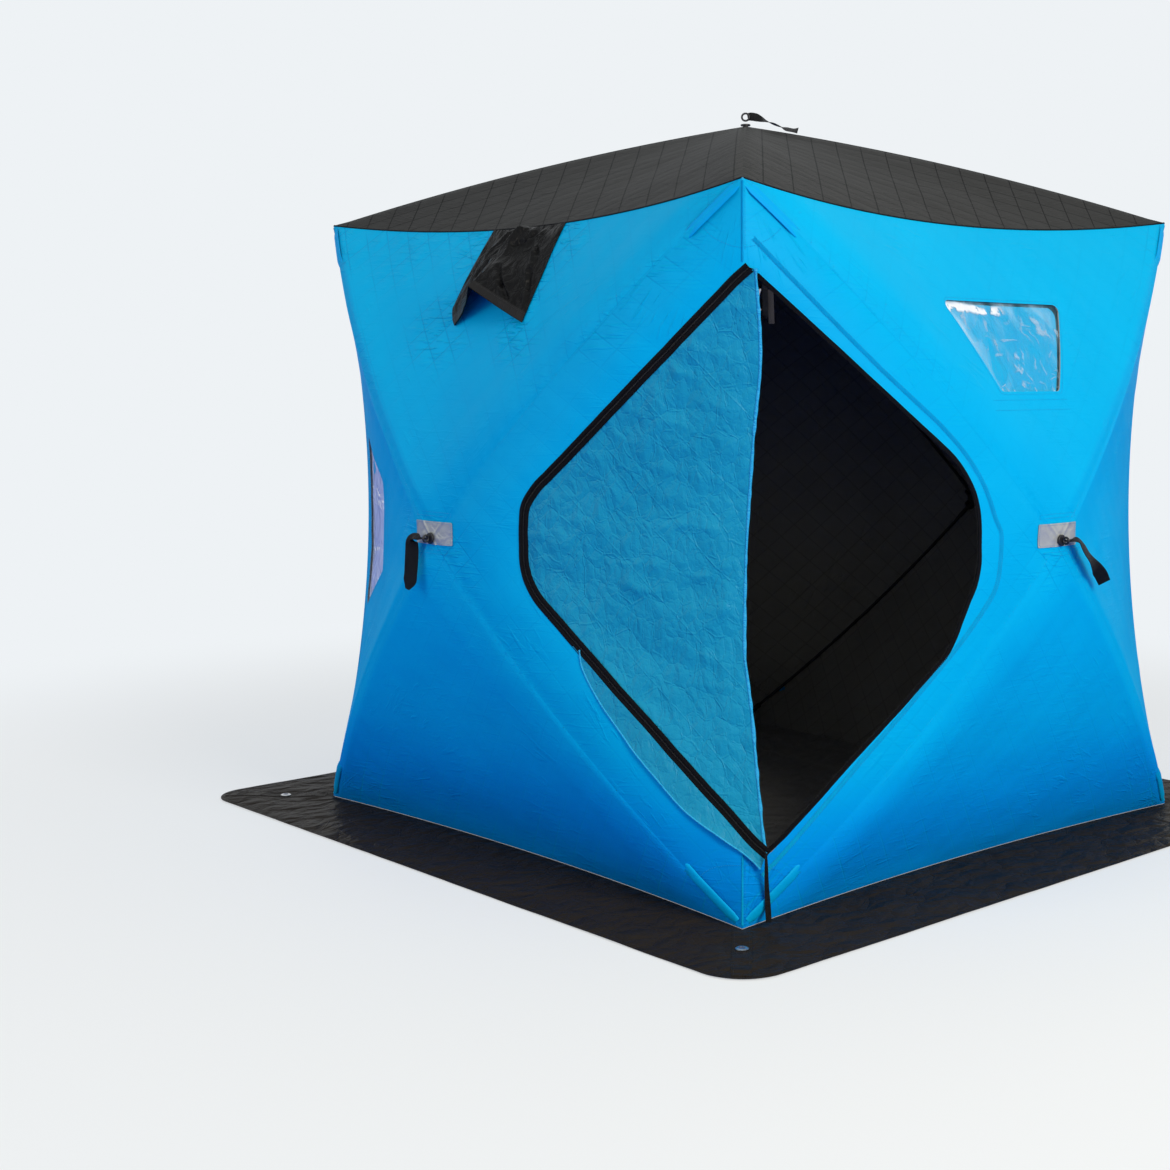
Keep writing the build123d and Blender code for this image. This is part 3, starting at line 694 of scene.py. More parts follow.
def wall_skin(wall, flat, lift=0.0):
    """Points on the outside of a wall's cloth, given across and up, and unit directions off it."""
    flat = np.asarray(flat, float)
    across, above = np.abs(flat[:, 0]), flat[:, 1] - hub_height
    pick = np.where(flat[:, 0] > 0, 2, 0)
    pick = np.where(above > across * (wall_height - hub_height) / half, 1, pick)
    pick = np.where(-above > across * (hub_height - foot) / half, 3, pick)
    points, ups = np.zeros((len(flat), 3)), np.zeros((len(flat), 3))
    for number, place in enumerate(places):
        mine = pick == number
        if mine.any():
            net = front_gore(place)
            found = find_on_gore(net, flat[mine], wall_flat)
            rise = cloth_rise(net, wall_flat, flat[mine], seeds[wall, place])
            points[mine] = on_gore(net, *found.T) + rise[:, None] * OUT
            ups[mine] = gore_up(net, found, OUT)
    points += np.broadcast_to(lift, len(flat))[:, None] * ups
    return turned(points, wall_turns[wall]), turned(ups, wall_turns[wall])


def door_skin(wall, flat, lift=0.0):
    """The same beside the door, given across the corner and up; the front wall reaches past the seam."""
    flat = np.asarray(flat, float)
    place, look, sign = ("right", door_flat, 1) if wall == "front" else ("left", other_door_flat, -1)
    net = front_gore(place)
    found = find_on_gore(net, flat * [sign, 1], look)
    points = on_gore(net, *found.T)
    rise = cloth_rise(net, wall_flat, wall_flat(points), seeds[wall, place])
    ups = gore_up(net, found, OUT)
    points += rise[:, None] * OUT + np.broadcast_to(lift, len(flat))[:, None] * ups
    return turned(points, wall_turns[wall]), turned(ups, wall_turns[wall])


# Cloth of the roof: four gores of the same quilted polyester in dark grey, held up by the roof's
# rods and sewn to the walls along the eaves, where they are drawn inward and down.


def roof_flat(points):
    """Across and back: the roof seen from above."""
    return np.asarray(points)[..., [0, 1]]


roof_pitch = 0.075          # between lines of quilting
roof_material = quilted_cloth("quilted_grey_polyester", "#3C3C3B", "#353534", "#141414", roof_pitch, 0.0012, 0.50,
                              0.015, 1.0, 0.0008)
roof_net = gore_net(np.array([0, 0, wall_height + roof_rise]), np.array([-half, -half, wall_height]),
                    np.array([half, -half, wall_height]), UP, roof_rod_bow, (0, eave_draw, -eave_draw))
for wall, turns in wall_turns.items():
    others = [turned(roof_net, 3), turned(roof_net, 1)]
    piece = make_gore(f"roof_{wall}_cloth", roof_net, roof_flat, UP, turns, 31 + 3 * turns,
                      [roof_material, lining_material], others, (crisp_ridge, crisp_ridge),
                      [((-0.8, -0.8), (0.8, -0.8), 0.6, 0.6)])
    fitted(piece, "roof_cloth", f"roof_{wall}_panel")

# Welts and piping: the gores of two walls meet in an upright welt of blue tape, and black piping
# is sewn in under the edge of the roof.

welt_radius = 0.0026
piping_radius = 0.0026


def steady(points, ups):
    """Unit directions to the side of a path, and up from it."""
    along = unit(np.gradient(points, axis=0))
    side_ways = unit(np.cross(along, ups))
    return side_ways, np.cross(side_ways, along)


def run_length(points):
    """How far along a line each of its points is."""
    return np.concatenate([[0], np.cumsum(np.linalg.norm(np.diff(points, axis=0), axis=1))])


def swept(name, points, ups, section, material, widths=None):
    """A closed bar along a path; its section is a list of places to the side and up."""
    side_ways, up = steady(points, ups)
    section = np.array(section, float)
    count, corners = len(points), len(section)
    scale = np.ones(count) if widths is None else np.asarray(widths)
    rings = (points[:, None] + side_ways[:, None] * (section[None, :, 0:1] * scale[:, None, None])
             + up[:, None] * section[None, :, 1:2])
    length, around = run_length(points), run_length(section)
    faces = [[i * corners + j, i * corners + (j + 1) % corners, (i + 1) * corners + (j + 1) % corners,
              (i + 1) * corners + j] for i in range(count - 1) for j in range(corners)]
    faces += [list(range(corners))[::-1], [(count - 1) * corners + j for j in range(corners)]]
    mesh = bpy.data.meshes.new(name)
    mesh.from_pydata(rings.reshape(-1, 3).tolist(), [], faces)
    put_map(mesh, "flat", np.stack([np.repeat(length, corners), np.tile(around, count)], -1))
    mesh.materials.append(material)
    mesh.polygons.foreach_set("use_smooth", np.ones(len(faces), bool))
    mesh.update()
    made = bmesh.new()
    made.from_mesh(mesh)
    bmesh.ops.recalc_face_normals(made, faces=made.faces)
    made.to_mesh(mesh)
    made.free()
    mesh.set_sharp_from_angle(angle=math.radians(40))
    return put_in(name, mesh)


def round_section(radius, count=10):
    """A circle as the section of a bar."""
    return [(radius * math.cos(2 * math.pi * i / count), radius * math.sin(2 * math.pi * i / count))
            for i in range(count)]


def joined(name, pieces):
    """Several objects made one, under a new name."""
    bpy.ops.object.select_all(action="DESELECT")
    for piece in pieces:
        piece.select_set(True)
    bpy.context.view_layer.objects.active = pieces[0]
    bpy.ops.object.join()
    pieces[0].name = name
    pieces[0].data.name = name
    return pieces[0]


def woven(name, colour, thread, roughness, specular=0.15, depth=0.0003):
    """Plain woven tape: threads cross at the given spacing, with a soft dull face."""
    material, tree = new_material(name)
    place = add(tree, "UVMap", uv_map="flat")
    scaled = add(tree, "Mapping", {"Vector": place, "Scale": (1 / thread, 1 / thread, 1.0)})
    weft, warp = (add(tree, "TexWave", {"Vector": scaled, "Scale": 0.5}, wave_type="BANDS", bands_direction=way,
                      out="Fac") for way in ("X", "Y"))
    cross = add(tree, "Math", {0: weft, 1: warp}, operation="ADD")
    rubbed = add(tree, "TexNoise", {"Vector": place, "Scale": 22.0, "Detail": 4.0})
    height = add(tree, "Math", {0: cross, 1: depth}, operation="MULTIPLY")
    height = add(tree, "Math", {0: rubbed, 1: 0.0008, 2: height}, operation="MULTIPLY_ADD")
    shade = add(tree, "MapRange", {"Value": rubbed, "To Min": 0.82, "To Max": 1.18})
    tint = add(tree, "VectorMath", {0: linear(colour)[:3], "Scale": shade}, operation="SCALE")
    return finished(material, tree, tint, height, 0.9, 1.0, Roughness=roughness, Specular_IOR_Level=specular)


blue_tape_material = woven("blue_seam_tape", "#00A9DA", 0.0016, 0.55, 0.08)
black_tape_material = woven("black_seam_tape", "#0C0C0D", 0.0016, 0.45, 0.09)
seam_points = 160
corner_seam = on_gore(front_gore("right"), np.linspace(0.004, 0.996, seam_points), np.ones(seam_points))
corner_ups = np.tile([math.sqrt(0.5), -math.sqrt(0.5), 0.0], (seam_points, 1))
eave_seam = on_gore(roof_net, np.linspace(0.002, 0.998, seam_points), np.ones(seam_points))
eave_ups = np.tile([0.0, -math.sqrt(0.5), math.sqrt(0.5)], (seam_points, 1))
door_seam_top, door_seam_foot = 1.570, 0.168    # where the door opening crosses the corner seam
welts, piping = [], []
for wall, turns in wall_turns.items():
    if wall == "front":         # its corner is the door's
        for part in (corner_seam[:, 2] > door_seam_top, corner_seam[:, 2] < door_seam_foot):
            welts.append(swept("welt", corner_seam[part], corner_ups[part], round_section(welt_radius),
                               blue_tape_material))
    else:
        welts.append(swept("welt", turned(corner_seam, turns), turned(corner_ups, turns), round_section(welt_radius),
                           blue_tape_material))
    piping.append(swept("piping", turned(eave_seam, turns), turned(eave_ups, turns), round_section(piping_radius),
                        black_tape_material))
corner_welts = joined("corner_welts", welts)
eave_piping = joined("eave_piping", piping)
for piece, finish in ((corner_welts, "wall_cloth"), (eave_piping, "roof_cloth")):
    fitted(piece, finish)

# Stitching: lines of blue thread along the seams, cross stitches over the ends of the rod pockets,
# and a double line round the open side of the door.

stitch_spacing = 0.0055
stitch_size = (0.0042, 0.0011, 0.0008)
stitch_lift = 0.0006        # off the cloth, to the middle of a stitch
band_width = 0.010          # between the two lines round the open side of the door


def beads_tree():
    """Small rounded beads along lines, each facing the way its line says."""
    tree = bpy.data.node_groups.new("beads_along_lines", "GeometryNodeTree")
    for name, kind in (("Lines", "NodeSocketGeometry"), ("Spacing", "NodeSocketFloat"), ("Size", "NodeSocketVector"),
                       ("Material", "NodeSocketMaterial")):
        tree.interface.new_socket(name, in_out="INPUT", socket_type=kind)
    tree.interface.new_socket("Beads", in_out="OUTPUT", socket_type="NodeSocketGeometry")
    given = add(tree, "NodeGroupInput").node.outputs
    curve = add(tree, "GeometryNodeMeshToCurve", {"Mesh": given["Lines"]})
    even = add(tree, "GeometryNodeResampleCurve", {"Curve": curve, "Length": given["Spacing"]}, mode="LENGTH")
    bead = add(tree, "GeometryNodeMeshIcoSphere", {"Radius": 0.5, "Subdivisions": 1})
    along = add(tree, "GeometryNodeInputTangent")
    up = add(tree, "GeometryNodeInputNamedAttribute", {"Name": "up"}, data_type="FLOAT_VECTOR", out="Attribute")
    aimed = add(tree, "FunctionNodeAlignRotationToVector", {"Vector": along}, axis="X")
    faced = add(tree, "FunctionNodeAlignRotationToVector", {"Rotation": aimed, "Vector": up}, axis="Z",
                pivot_axis="X")
    placed = add(tree, "GeometryNodeInstanceOnPoints", {"Points": even, "Instance": bead, "Rotation": faced,
                                                        "Scale": given["Size"]})
    real = add(tree, "GeometryNodeRealizeInstances", {"Geometry": placed})
    smooth = add(tree, "GeometryNodeSetShadeSmooth", {"Geometry": real})
    done = add(tree, "GeometryNodeSetMaterial", {"Geometry": smooth, "Material": given["Material"]})
    add(tree, "NodeGroupOutput", {"Beads": done})
    return tree


beads = beads_tree()


def beaded(name, lines, spacing, size, material):
    """One piece of beads along lines; each line is its points and the directions off its surface."""
    mesh = bpy.data.meshes.new(name)
    points = np.concatenate([line for line, _ in lines])
    edges, start = [], 0
    for line, _ in lines:
        edges += [(start + i, start + i + 1) for i in range(len(line) - 1)]
        start += len(line)
    mesh.from_pydata(points.tolist(), edges, [])
    mesh.attributes.new("up", "FLOAT_VECTOR", "POINT").data.foreach_set(
        "vector", np.concatenate([ups for _, ups in lines]).astype(np.float32).ravel())
    piece = put_in(name, mesh)
    maker = piece.modifiers.new("beads", "NODES")
    maker.node_group = beads
    values = {"Spacing": spacing, "Size": size, "Material": material}
    for socket in beads.interface.items_tree:
        if socket.in_out == "INPUT" and socket.name in values:
            maker[socket.identifier] = values[socket.name]
    seen_from = bpy.context.evaluated_depsgraph_get()
    made = bpy.data.meshes.new_from_object(piece.evaluated_get(seen_from))
    piece.modifiers.remove(maker)
    piece.data = made
    made.name = name
    return piece


def smooth_line(points, step):
    """Evenly spaced points along a smooth line through some points."""
    points = np.array(points, float)
    padded = np.concatenate([[2 * points[0] - points[1]], points, [2 * points[-1] - points[-2]]])
    run = []
    for i in range(len(points) - 1):
        a, b, c, d = padded[i:i + 4]
        t = np.linspace(0, 1, 24, endpoint=False)[:, None]
        run.append(b + t * (c - a) / 2 + t ** 2 * (2 * a - 5 * b + 4 * c - d) / 2
                   + t ** 3 * (3 * b - a - 3 * c + d) / 2)
    run = np.concatenate([*run, points[-1:]])
    length = run_length(run)
    even = np.linspace(0, length[-1], max(2, int(length[-1] / step) + 1))
    return np.stack([np.interp(even, length, run[:, k]) for k in range(run.shape[1])], -1)


def beside(flat, distance):
    """A flat line moved sideways, to its left."""
    along = unit(np.gradient(flat, axis=0))
    return flat + distance * np.stack([-along[:, 1], along[:, 0]], -1)


def thread(name, colour):
    """Twisted polyester sewing thread."""
    material, tree = new_material(name)
    place = add(tree, "TexCoord", out="Object")
    strands = add(tree, "TexNoise", {"Vector": place, "Scale": 2600.0, "Detail": 1.0})
    worn = add(tree, "TexNoise", {"Vector": place, "Scale": 30.0})
    shade = add(tree, "MapRange", {"Value": worn, "To Min": 0.8, "To Max": 1.2})
    tint = add(tree, "VectorMath", {0: linear(colour)[:3], "Scale": shade}, operation="SCALE")
    return finished(material, tree, tint, strands, 0.5, 0.0004, Roughness=0.45)


blue_thread = thread("blue_thread", "#0090C6")
black_thread = thread("black_thread", "#1B1B1C")
band_line = smooth_line([(0.03, 1.628), (0.183, 1.472), (0.34, 1.319), (0.502, 1.171), (0.587, 1.064), (0.64, 0.941),
                         (0.657, 0.891), (0.647, 0.786), (0.616, 0.723), (0.544, 0.632), (0.42, 0.50), (0.30, 0.375),
                         (0.19, 0.26), (0.10, 0.165), (0.05, 0.115)], 0.008)
stitch_lines = [door_skin("right", beside(band_line, -aside), stitch_lift) for aside in (0, band_width)]
for low, high in ((0.03, 0.14), (1.60, 1.745)):
    stitch_lines.append(door_skin("right", np.stack([np.full(40, 0.006), np.linspace(low, high, 40)], -1),
                                  stitch_lift))
band_seam = swept("door_band_seam", *door_skin("right", beside(band_line, -band_width / 2), 0.0002),
                  [(-0.0045, 0), (-0.0025, 0.0004), (0.0025, 0.0004), (0.0045, 0)], blue_tape_material)
fitted(band_seam, "wall_cloth")

# Rod pockets: a sleeve of coated blue polyester over the last 0.17 m of each rod, its mouth sewn
# across, with a line of stitching beside it and a curved seam round the patch in the corner.

pocket_length = 0.170
pocket_start = 0.020        # from the corner
pocket_width = 0.026
pocket_height = 0.0050
pocket_sink = 0.0028        # of its edges below the wall's face
flatness = 0.42             # of the upper pockets against the lower ones
patch_seam = {True: [(0.091, 0.117), (0.082, 0.132), (0.072, 0.143), (0.048, 0.157), (0.027, 0.162)],
              False: [(0.101, 0.108), (0.088, 0.124), (0.072, 0.133), (0.048, 0.138), (0.024, 0.139)]}


def thin_cloth(name, colour, light_colour, crease_size, crumple, roughness, specular, folds=0):
    """A single layer of coated polyester: flat facets that meet in sharp creases, some of them standing up as
    thin pinched lines. folds is the distance between the long folds it was packed in, where they still show."""
    material, tree = new_material(name)
    flat = add(tree, "UVMap", uv_map="flat")
    wander = add(tree, "TexNoise", {"Vector": flat, "Scale": 0.45 / crease_size, "Detail": 1.0},
                 noise_dimensions="2D", out="Color")
    bent = add(tree, "VectorMath", {0: wander, 1: (crease_size * 0.8,) * 3, 2: flat}, operation="MULTIPLY_ADD")
    parts = []                  # of the height, each with its depth
    for finer, slope, pinch, gap in ((0.45, 0.045, 0.00045, 0.40), (1.0, 0.058, 0.00040, 0.46),
                                     (2.3, 0.034, 0.00016, 0.50)):
        scale = finer / crease_size
        stretched = add(tree, "Mapping", {"Vector": bent, "Rotation": (0, 0, finer * 1.7), "Scale": (1.0, 0.62, 1.0)})
        edge = add(tree, "TexVoronoi", {"Vector": stretched, "Scale": scale}, voronoi_dimensions="2D",
                   feature="DISTANCE_TO_EDGE")
        shown = add(tree, "TexNoise", {"Vector": flat, "Scale": 1.4 * scale, "Detail": 1.0}, noise_dimensions="2D")
        shown = add(tree, "MapRange", {"Value": shown, "From Min": gap, "From Max": gap + 0.14, "To Min": -0.35,
                                       "To Max": 1.0})
        fold = shared(tree, (edge, 0.0, 0.0026 * scale, 1.0, 0.0), most=shown)
        parts += [(edge, crumple * slope / scale), (fold, crumple * pinch)]
    for turn in (38, -44) if folds else ():
        laid = add(tree, "Mapping", {"Vector": flat, "Rotation": (0, 0, math.radians(turn))})
        off = add(tree, "Math", {0: add(tree, "SeparateXYZ", {"Vector": laid}), 1: folds / 2}, operation="PINGPONG")
        parts.append((shared(tree, (off, 0.0, 0.0030, 1.0, 0.0)), 0.0005))
    parts.append((add(tree, "TexNoise", {"Vector": flat, "Scale": 1400.0, "Detail": 1.0}, noise_dimensions="2D"),
                  0.00006))
    height = 0.0
    for part, depth in parts:
        height = add(tree, "Math", {0: part, 1: depth, 2: height}, operation="MULTIPLY_ADD")
    tone = add(tree, "TexNoise", {"Vector": flat, "Scale": 6.0, "Detail": 5.0}, noise_dimensions="2D")
    return finished(material, tree, painted(tree, colour, (tone, light_colour)), height, 1.0, 1.0,
                    Roughness=roughness, Specular_IOR_Level=specular)


pocket_material = thin_cloth("blue_pocket_polyester", "#00A2DC", "#00ACE4", 0.030, 0.5, 0.50, 0.05)


def along_rod(wall, x_sign, top, distances, aside=0.0, lift=0.0):
    """Points over a rod at distances from its corner, and directions off the wall there."""
    corner = np.array([x_sign * half, wall_height if top else foot])
    inward = np.array([0, hub_height]) - corner
    inward /= np.linalg.norm(inward)
    flat = corner + np.asarray(distances)[:, None] * inward + aside * np.array([-inward[1], inward[0]])
    points, _ = wall_skin(wall, flat)
    along = unit(np.gradient(points, axis=0))
    out = turned(np.tile(OUT, (len(flat), 1)), wall_turns[wall])
    ups = unit(out - np.sum(out * along, axis=1)[:, None] * along)
    return points + np.broadcast_to(lift, len(flat))[:, None] * ups, ups


sleeves = []
steps = np.linspace(pocket_start, pocket_start + pocket_length, 40)
taper = np.interp(steps, [steps[0], steps[4], steps[-7], steps[-3], steps[-1]], [0.7, 1.0, 1.0, 0.90, 0.60])
sink = np.interp(steps, [steps[0], steps[6], steps[-9], steps[-1]], [-0.0030, 0.0, 0.0, -0.0042])
sleeve_section = [(-pocket_width / 2 * math.cos(a), pocket_height * math.sin(a) ** 0.8 - pocket_sink)
                  for a in np.linspace(0, math.pi, 13)]
for wall in wall_turns:
    for x_sign in (-1, 1):
        for top in (True, False):
            share = flatness if top else 1
            section = [(a, share * (b + pocket_sink) - pocket_sink) for a, b in sleeve_section]
            sleeves.append(swept("sleeve", *along_rod(wall, x_sign, top, steps, 0.0, sink), section, pocket_material,
                                 taper))
            beneath = -x_sign if top else x_sign
            stitch_lines.append(along_rod(wall, x_sign, top, steps[:-2], beneath * 0.52 * pocket_width, stitch_lift))
            end = wall_height if top else foot
            seam = smooth_line([(x_sign * (half - a), end - b if top else end + b) for a, b in patch_seam[top]],
                               0.005)
            stitch_lines.append(wall_skin(wall, seam, 0.0005))
rod_pockets = joined("rod_pockets", sleeves)
fitted(rod_pockets, "wall_cloth")
wall_stitching = beaded("wall_stitching", stitch_lines, stitch_spacing, stitch_size, blue_thread)
fitted(wall_stitching, "wall_cloth")

# Door flap: the left half of the door in thin crumpled polyester, zipped round its left side and
# loose along its upright edge, which has a narrow rolled hem.

flap_cell = 0.0065
flap_cloth = 0.004
flap_depth = 0.0012         # of its outer face below the wall's
flap_hem = 0.0040           # radius of the rolled hem
flap_folds = ((0.26, 0.0060), (0.13, 0.0036), (0.06, 0.0020))   # size and height
held_reach = 0.05           # from its edges, where it is held flat
flap_edge = [(0.030, 1.553), (0.042, 1.343), (0.026, 1.152), (0.015, 0.998), (0.007, 0.847), (0.004, 0.65),
             (0.010, 0.583), (0.023, 0.482), (0.037, 0.314), (0.047, 0.211), (0.056, 0.172)]
flap_material = thin_cloth("thin_blue_door_polyester", "#128FAF", "#1A99B9", 0.030, 2.3, 0.42, 0.12, 0.155)
hem_material = thin_cloth("blue_door_hem", "#1EA4D2", "#35B4DE", 0.014, 2.0, 0.45, 0.20)


def creases(flat, sizes, seed):
    """Sharp folds of several sizes, each turned its own way; sizes are pairs of size and depth."""
    total = np.zeros(len(flat))
    for number, (size, depth) in enumerate(sizes):
        angle = 0.7 + 1.9 * number
        x = flat[:, 0] * math.cos(angle) + flat[:, 1] * math.sin(angle)
        y = flat[:, 1] * math.cos(angle) - flat[:, 0] * math.sin(angle)
        total += depth * (1 - 2 * np.abs(noise(x, y * 0.55, size, seed + number)))
    return total


first, last = np.argmax(door_line[:, 1]), np.argmin(door_line[:, 1])
zip_line = np.roll(door_line, -first, axis=0)[:(last - first) % len(door_line) + 1]
free_line = smooth_line(flap_edge, 0.008)
flap_outline = np.concatenate([beside(zip_line, 0.002)[2:-2], free_line[::-1]])
flat, triangles = cut_pattern(flap_outline, flap_cell)
points, ups = door_skin("front", flat)
loose = np.clip(away_from(flat, [closed(flap_outline)]) / held_reach, 0, 1)
outer = points + ups * (creases(flat, flap_folds, 71) * loose - flap_depth)[:, None]
piece = sewn_sheet("door_flap_cloth", outer, outer - ups * flap_cloth, triangles, [flap_material, lining_material],
                   {"flat": flat + [4.0, 2.0]})
hem_points, hem_ups = door_skin("front", free_line, -0.0025)
wobble = 1 + 0.35 * noise(free_line[:, 1] * 3, free_line[:, 0], 0.06, 5)
hem = swept("door_flap_hem", hem_points, hem_ups, round_section(flap_hem), hem_material, wobble)
fitted(piece, "door_cloth", "door_flap")
fitted(hem, "door_cloth")

# Zip: a black coil between two welts of coated tape round the left side of the door, its brass
# slider at the foot with a webbing pull, and half of the same zip along the open right side.

zip_half = 0.0140
tooth_spacing, tooth_size = 0.0022, (0.0014, 0.0052, 0.0018)
open_tooth_spacing, open_tooth_size = 0.0024, (0.0014, 0.0040, 0.0018)
zip_path = smooth_line(np.concatenate([zip_line[:-4:6], zip_line[-1:]]), 0.006)
zip_section = [(-zip_half, -0.0006), (-zip_half, 0.0004), (-0.0120, 0.0014), (-0.0080, 0.0024), (-0.0046, 0.0018),
               (-0.0034, 0.0006), (0.0034, 0.0006), (0.0046, 0.0018), (0.0080, 0.0024), (0.0120, 0.0014),
               (zip_half, 0.0004), (zip_half, -0.0006)]
zip_tape = swept("zip_tape", *door_skin("front", zip_path, 0.0006), zip_section, black_tape_material)
tooth_material = thread("black_nylon_coil", "#0C0C0D")
zip_coil = beaded("zip_coil", [door_skin("front", zip_path, 0.0016)], tooth_spacing, tooth_size, tooth_material)
fitted(zip_tape, "zip_tape", "door_zip")
fitted(zip_coil, "zip_tape")

right_line = np.roll(door_line, -last, axis=0)[:(first - last) % len(door_line) + 1]
open_path = smooth_line(beside(right_line, 0.004)[::6], 0.006)
open_section = [(-0.0050, -0.0050), (-0.0050, 0.0006), (0.0050, 0.0006), (0.0050, -0.0050)]
open_tape = swept("open_zip_tape", *door_skin("right", open_path, 0.0), open_section, black_tape_material)
open_coil = beaded("open_zip_coil", [door_skin("right", beside(open_path, 0.0055), -0.0025)], open_tooth_spacing,
                   open_tooth_size, tooth_material)
fitted(open_tape, "zip_tape", "door_open_zip")
fitted(open_coil, "zip_tape")

# Storm flap: a band of the same thin cloth sewn in below the zip, which stands off the wall and
# sags open at its lower end.

storm_cell = 0.006
storm_cloth = 0.0010
storm_hem_radius = 0.0022
storm_top, storm_drop = 0.62, 0.50      # where it starts to sag, and how far down it sags most
storm_upper = zip_path[zip_path[:, 1] < 0.640]
storm_upper = storm_upper[np.argmin(storm_upper[:, 0]):]
storm_upper = beside(storm_upper, -0.012)
storm_lower = smooth_line([(-0.402, 0.622), (-0.393, 0.575), (-0.345, 0.497), (-0.267, 0.397), (-0.200, 0.325),
                           (-0.134, 0.258), (-0.057, 0.206), (0.000, 0.172), (0.028, 0.150), (0.042, 0.136)], 0.008)
storm_outline = np.concatenate([storm_upper, storm_lower[::-1]])
flat, triangles = cut_pattern(storm_outline, storm_cell)
points, ups = door_skin("front", flat)
from_zip = away_from(flat, [storm_upper])
down = np.clip((storm_top - flat[:, 1]) / storm_drop, 0, 1)
away = np.clip(from_zip / 0.06, 0, 1)
lift = 0.0026 + 0.010 * away * down ** 1.5 + 0.026 * away ** 2 * np.clip((down - 0.72) / 0.28, 0, 1)
lift += creases(flat, ((0.11, 0.0028), (0.05, 0.0014)), 83) * np.clip(from_zip / 0.02, 0, 1)
storm_material = thin_cloth("thin_blue_storm_polyester", "#1288A8", "#1A94B6", 0.026, 2.2, 0.44, 0.12)
outer = points + ups * np.maximum(lift, 0.0022)[:, None]
piece = sewn_sheet("storm_flap", outer, outer - ups * storm_cloth, triangles, [storm_material, storm_material],
                   {"flat": flat + [6.0, 1.0]})
hem_points = outer[nearest(flat, storm_lower)[0]] - ups[0] * 0.0004
hem_points = smooth_line(hem_points[::2], 0.006)
storm_hem = swept("storm_flap_hem", hem_points, np.tile(ups[0], (len(hem_points), 1)),
                  round_section(storm_hem_radius), hem_material)
fitted(piece, "wall_cloth", "door_storm_flap")
fitted(storm_hem, "wall_cloth")

# Windows: clear vinyl film sewn behind each opening, rippled where it is slack, over a cover of
# blue polyester that is closed behind it.

film_depth = 0.0062         # from the outer face of the wall
cover_depth = 0.0082
film_lap = 0.012            # past the opening
film_cloth, cover_cloth = 0.0005, 0.0008
film_slack, cover_slack = 0.0016, 0.0020
window_radius = 0.02
cover_drop = 0.009          # of the cover below the film

# clear and glossy; painted highlights: white gleams along its folds and a white band near its top, and a painted
# reflection that turns it pale and opaque where it is seen at a slant
film_material, tree = new_material("clear_vinyl_film")
flat_place = add(tree, "UVMap", uv_map="flat")
frame_place = add(tree, "UVMap", uv_map="frame")
wander = add(tree, "TexNoise", {"Vector": frame_place, "Scale": 1.3, "Detail": 3.0}, noise_dimensions="2D",
             out="Color")
bent = add(tree, "VectorMath", {0: wander, 1: (0.55, 0.55, 0.0), 2: frame_place}, operation="MULTIPLY_ADD")
bent_parts = add(tree, "SeparateXYZ", {"Vector": bent}).node.outputs
frame_parts = add(tree, "SeparateXYZ", {"Vector": frame_place}).node.outputs
upright = add(tree, "Mapping", {"Vector": bent, "Scale": (3.4, 0.75, 1.0), "Rotation": (0, 0, math.radians(-14))})
waves = add(tree, "TexNoise", {"Vector": upright, "Scale": 1.0, "Detail": 2.0, "Distortion": 0.6},
            noise_dimensions="2D")
crackle = add(tree, "TexVoronoi", {"Vector": bent, "Scale": 4.5}, voronoi_dimensions="2D", feature="DISTANCE_TO_EDGE")
broken = add(tree, "TexNoise", {"Vector": flat_place, "Scale": 26.0, "Detail": 4.0}, noise_dimensions="2D")
off_band = add(tree, "Math", {0: bent_parts["Y"], 1: 0.98}, operation="SUBTRACT")
off_band = add(tree, "Math", {0: off_band}, operation="ABSOLUTE")
painted_highlights = shared(tree, (off_band, 0.03, 0.13, 1.0, 0.0), (frame_parts["X"], -0.15, 0.15, 1.0, 0.0),
               (broken, 0.36, 0.50, 0.0, 1.0))
painted_gleams = [shared(tree, (crackle, 0.0, 0.05, 1.0, 0.0), (broken, 0.48, 0.56, 0.0, 1.0),
                 (frame_parts["Y"], -0.35, -0.75, 0.0, 1.0), most=0.7)]
for scale, turn, low, most in (((5.0, 0.7, 1.0), -16, 0.60, 0.42), ((11.0, 1.3, 1.0), -24, 0.63, 0.30),
                               ((1.1, 7.0, 1.0), 12, 0.66, 0.34)):
    drawn = add(tree, "Mapping", {"Vector": bent, "Scale": scale, "Rotation": (0, 0, math.radians(turn))})
    drawn = add(tree, "TexNoise", {"Vector": drawn, "Scale": 1.0, "Detail": 1.0}, noise_dimensions="2D")
    painted_gleams.append(shared(tree, (drawn, low, low + 0.10, 0.0, 1.0), (broken, 0.34, 0.56, 0.0, 1.0), most=most))
for painted_gleam in painted_gleams:
    painted_highlights = add(tree, "Math", {0: painted_highlights, 1: painted_gleam}, operation="MAXIMUM")
painted_slant_reflection = shared(tree, (add(tree, "LayerWeight", {"Blend": 0.5}, out="Facing"), 0.42, 0.66, 0.0, 0.96))
# cover is the film's opacity: it is raised where the painted highlights and the painted slant reflection show
cover = add(tree, "Math", {0: shared(tree, (painted_highlights, 0.0, 1.0, 0.05, 0.92)), 1: painted_slant_reflection}, operation="MAXIMUM")
# painted highlight and reflection: the film's tint turns near white where they show
highlight_and_reflection_share = add(tree, "Math", {0: painted_highlights, 1: painted_slant_reflection}, operation="MAXIMUM")
finished(film_material, tree, painted(tree, "#7CCBEA", (highlight_and_reflection_share, "#F6F8F8")), waves, 1.0, 0.010, Roughness=0.12,
         Alpha=cover, Specular_IOR_Level=0.9)
cover_material = thin_cloth("blue_window_cover", "#0CA6D4", "#18AED8", 0.030, 2.0, 0.45, 0.12)


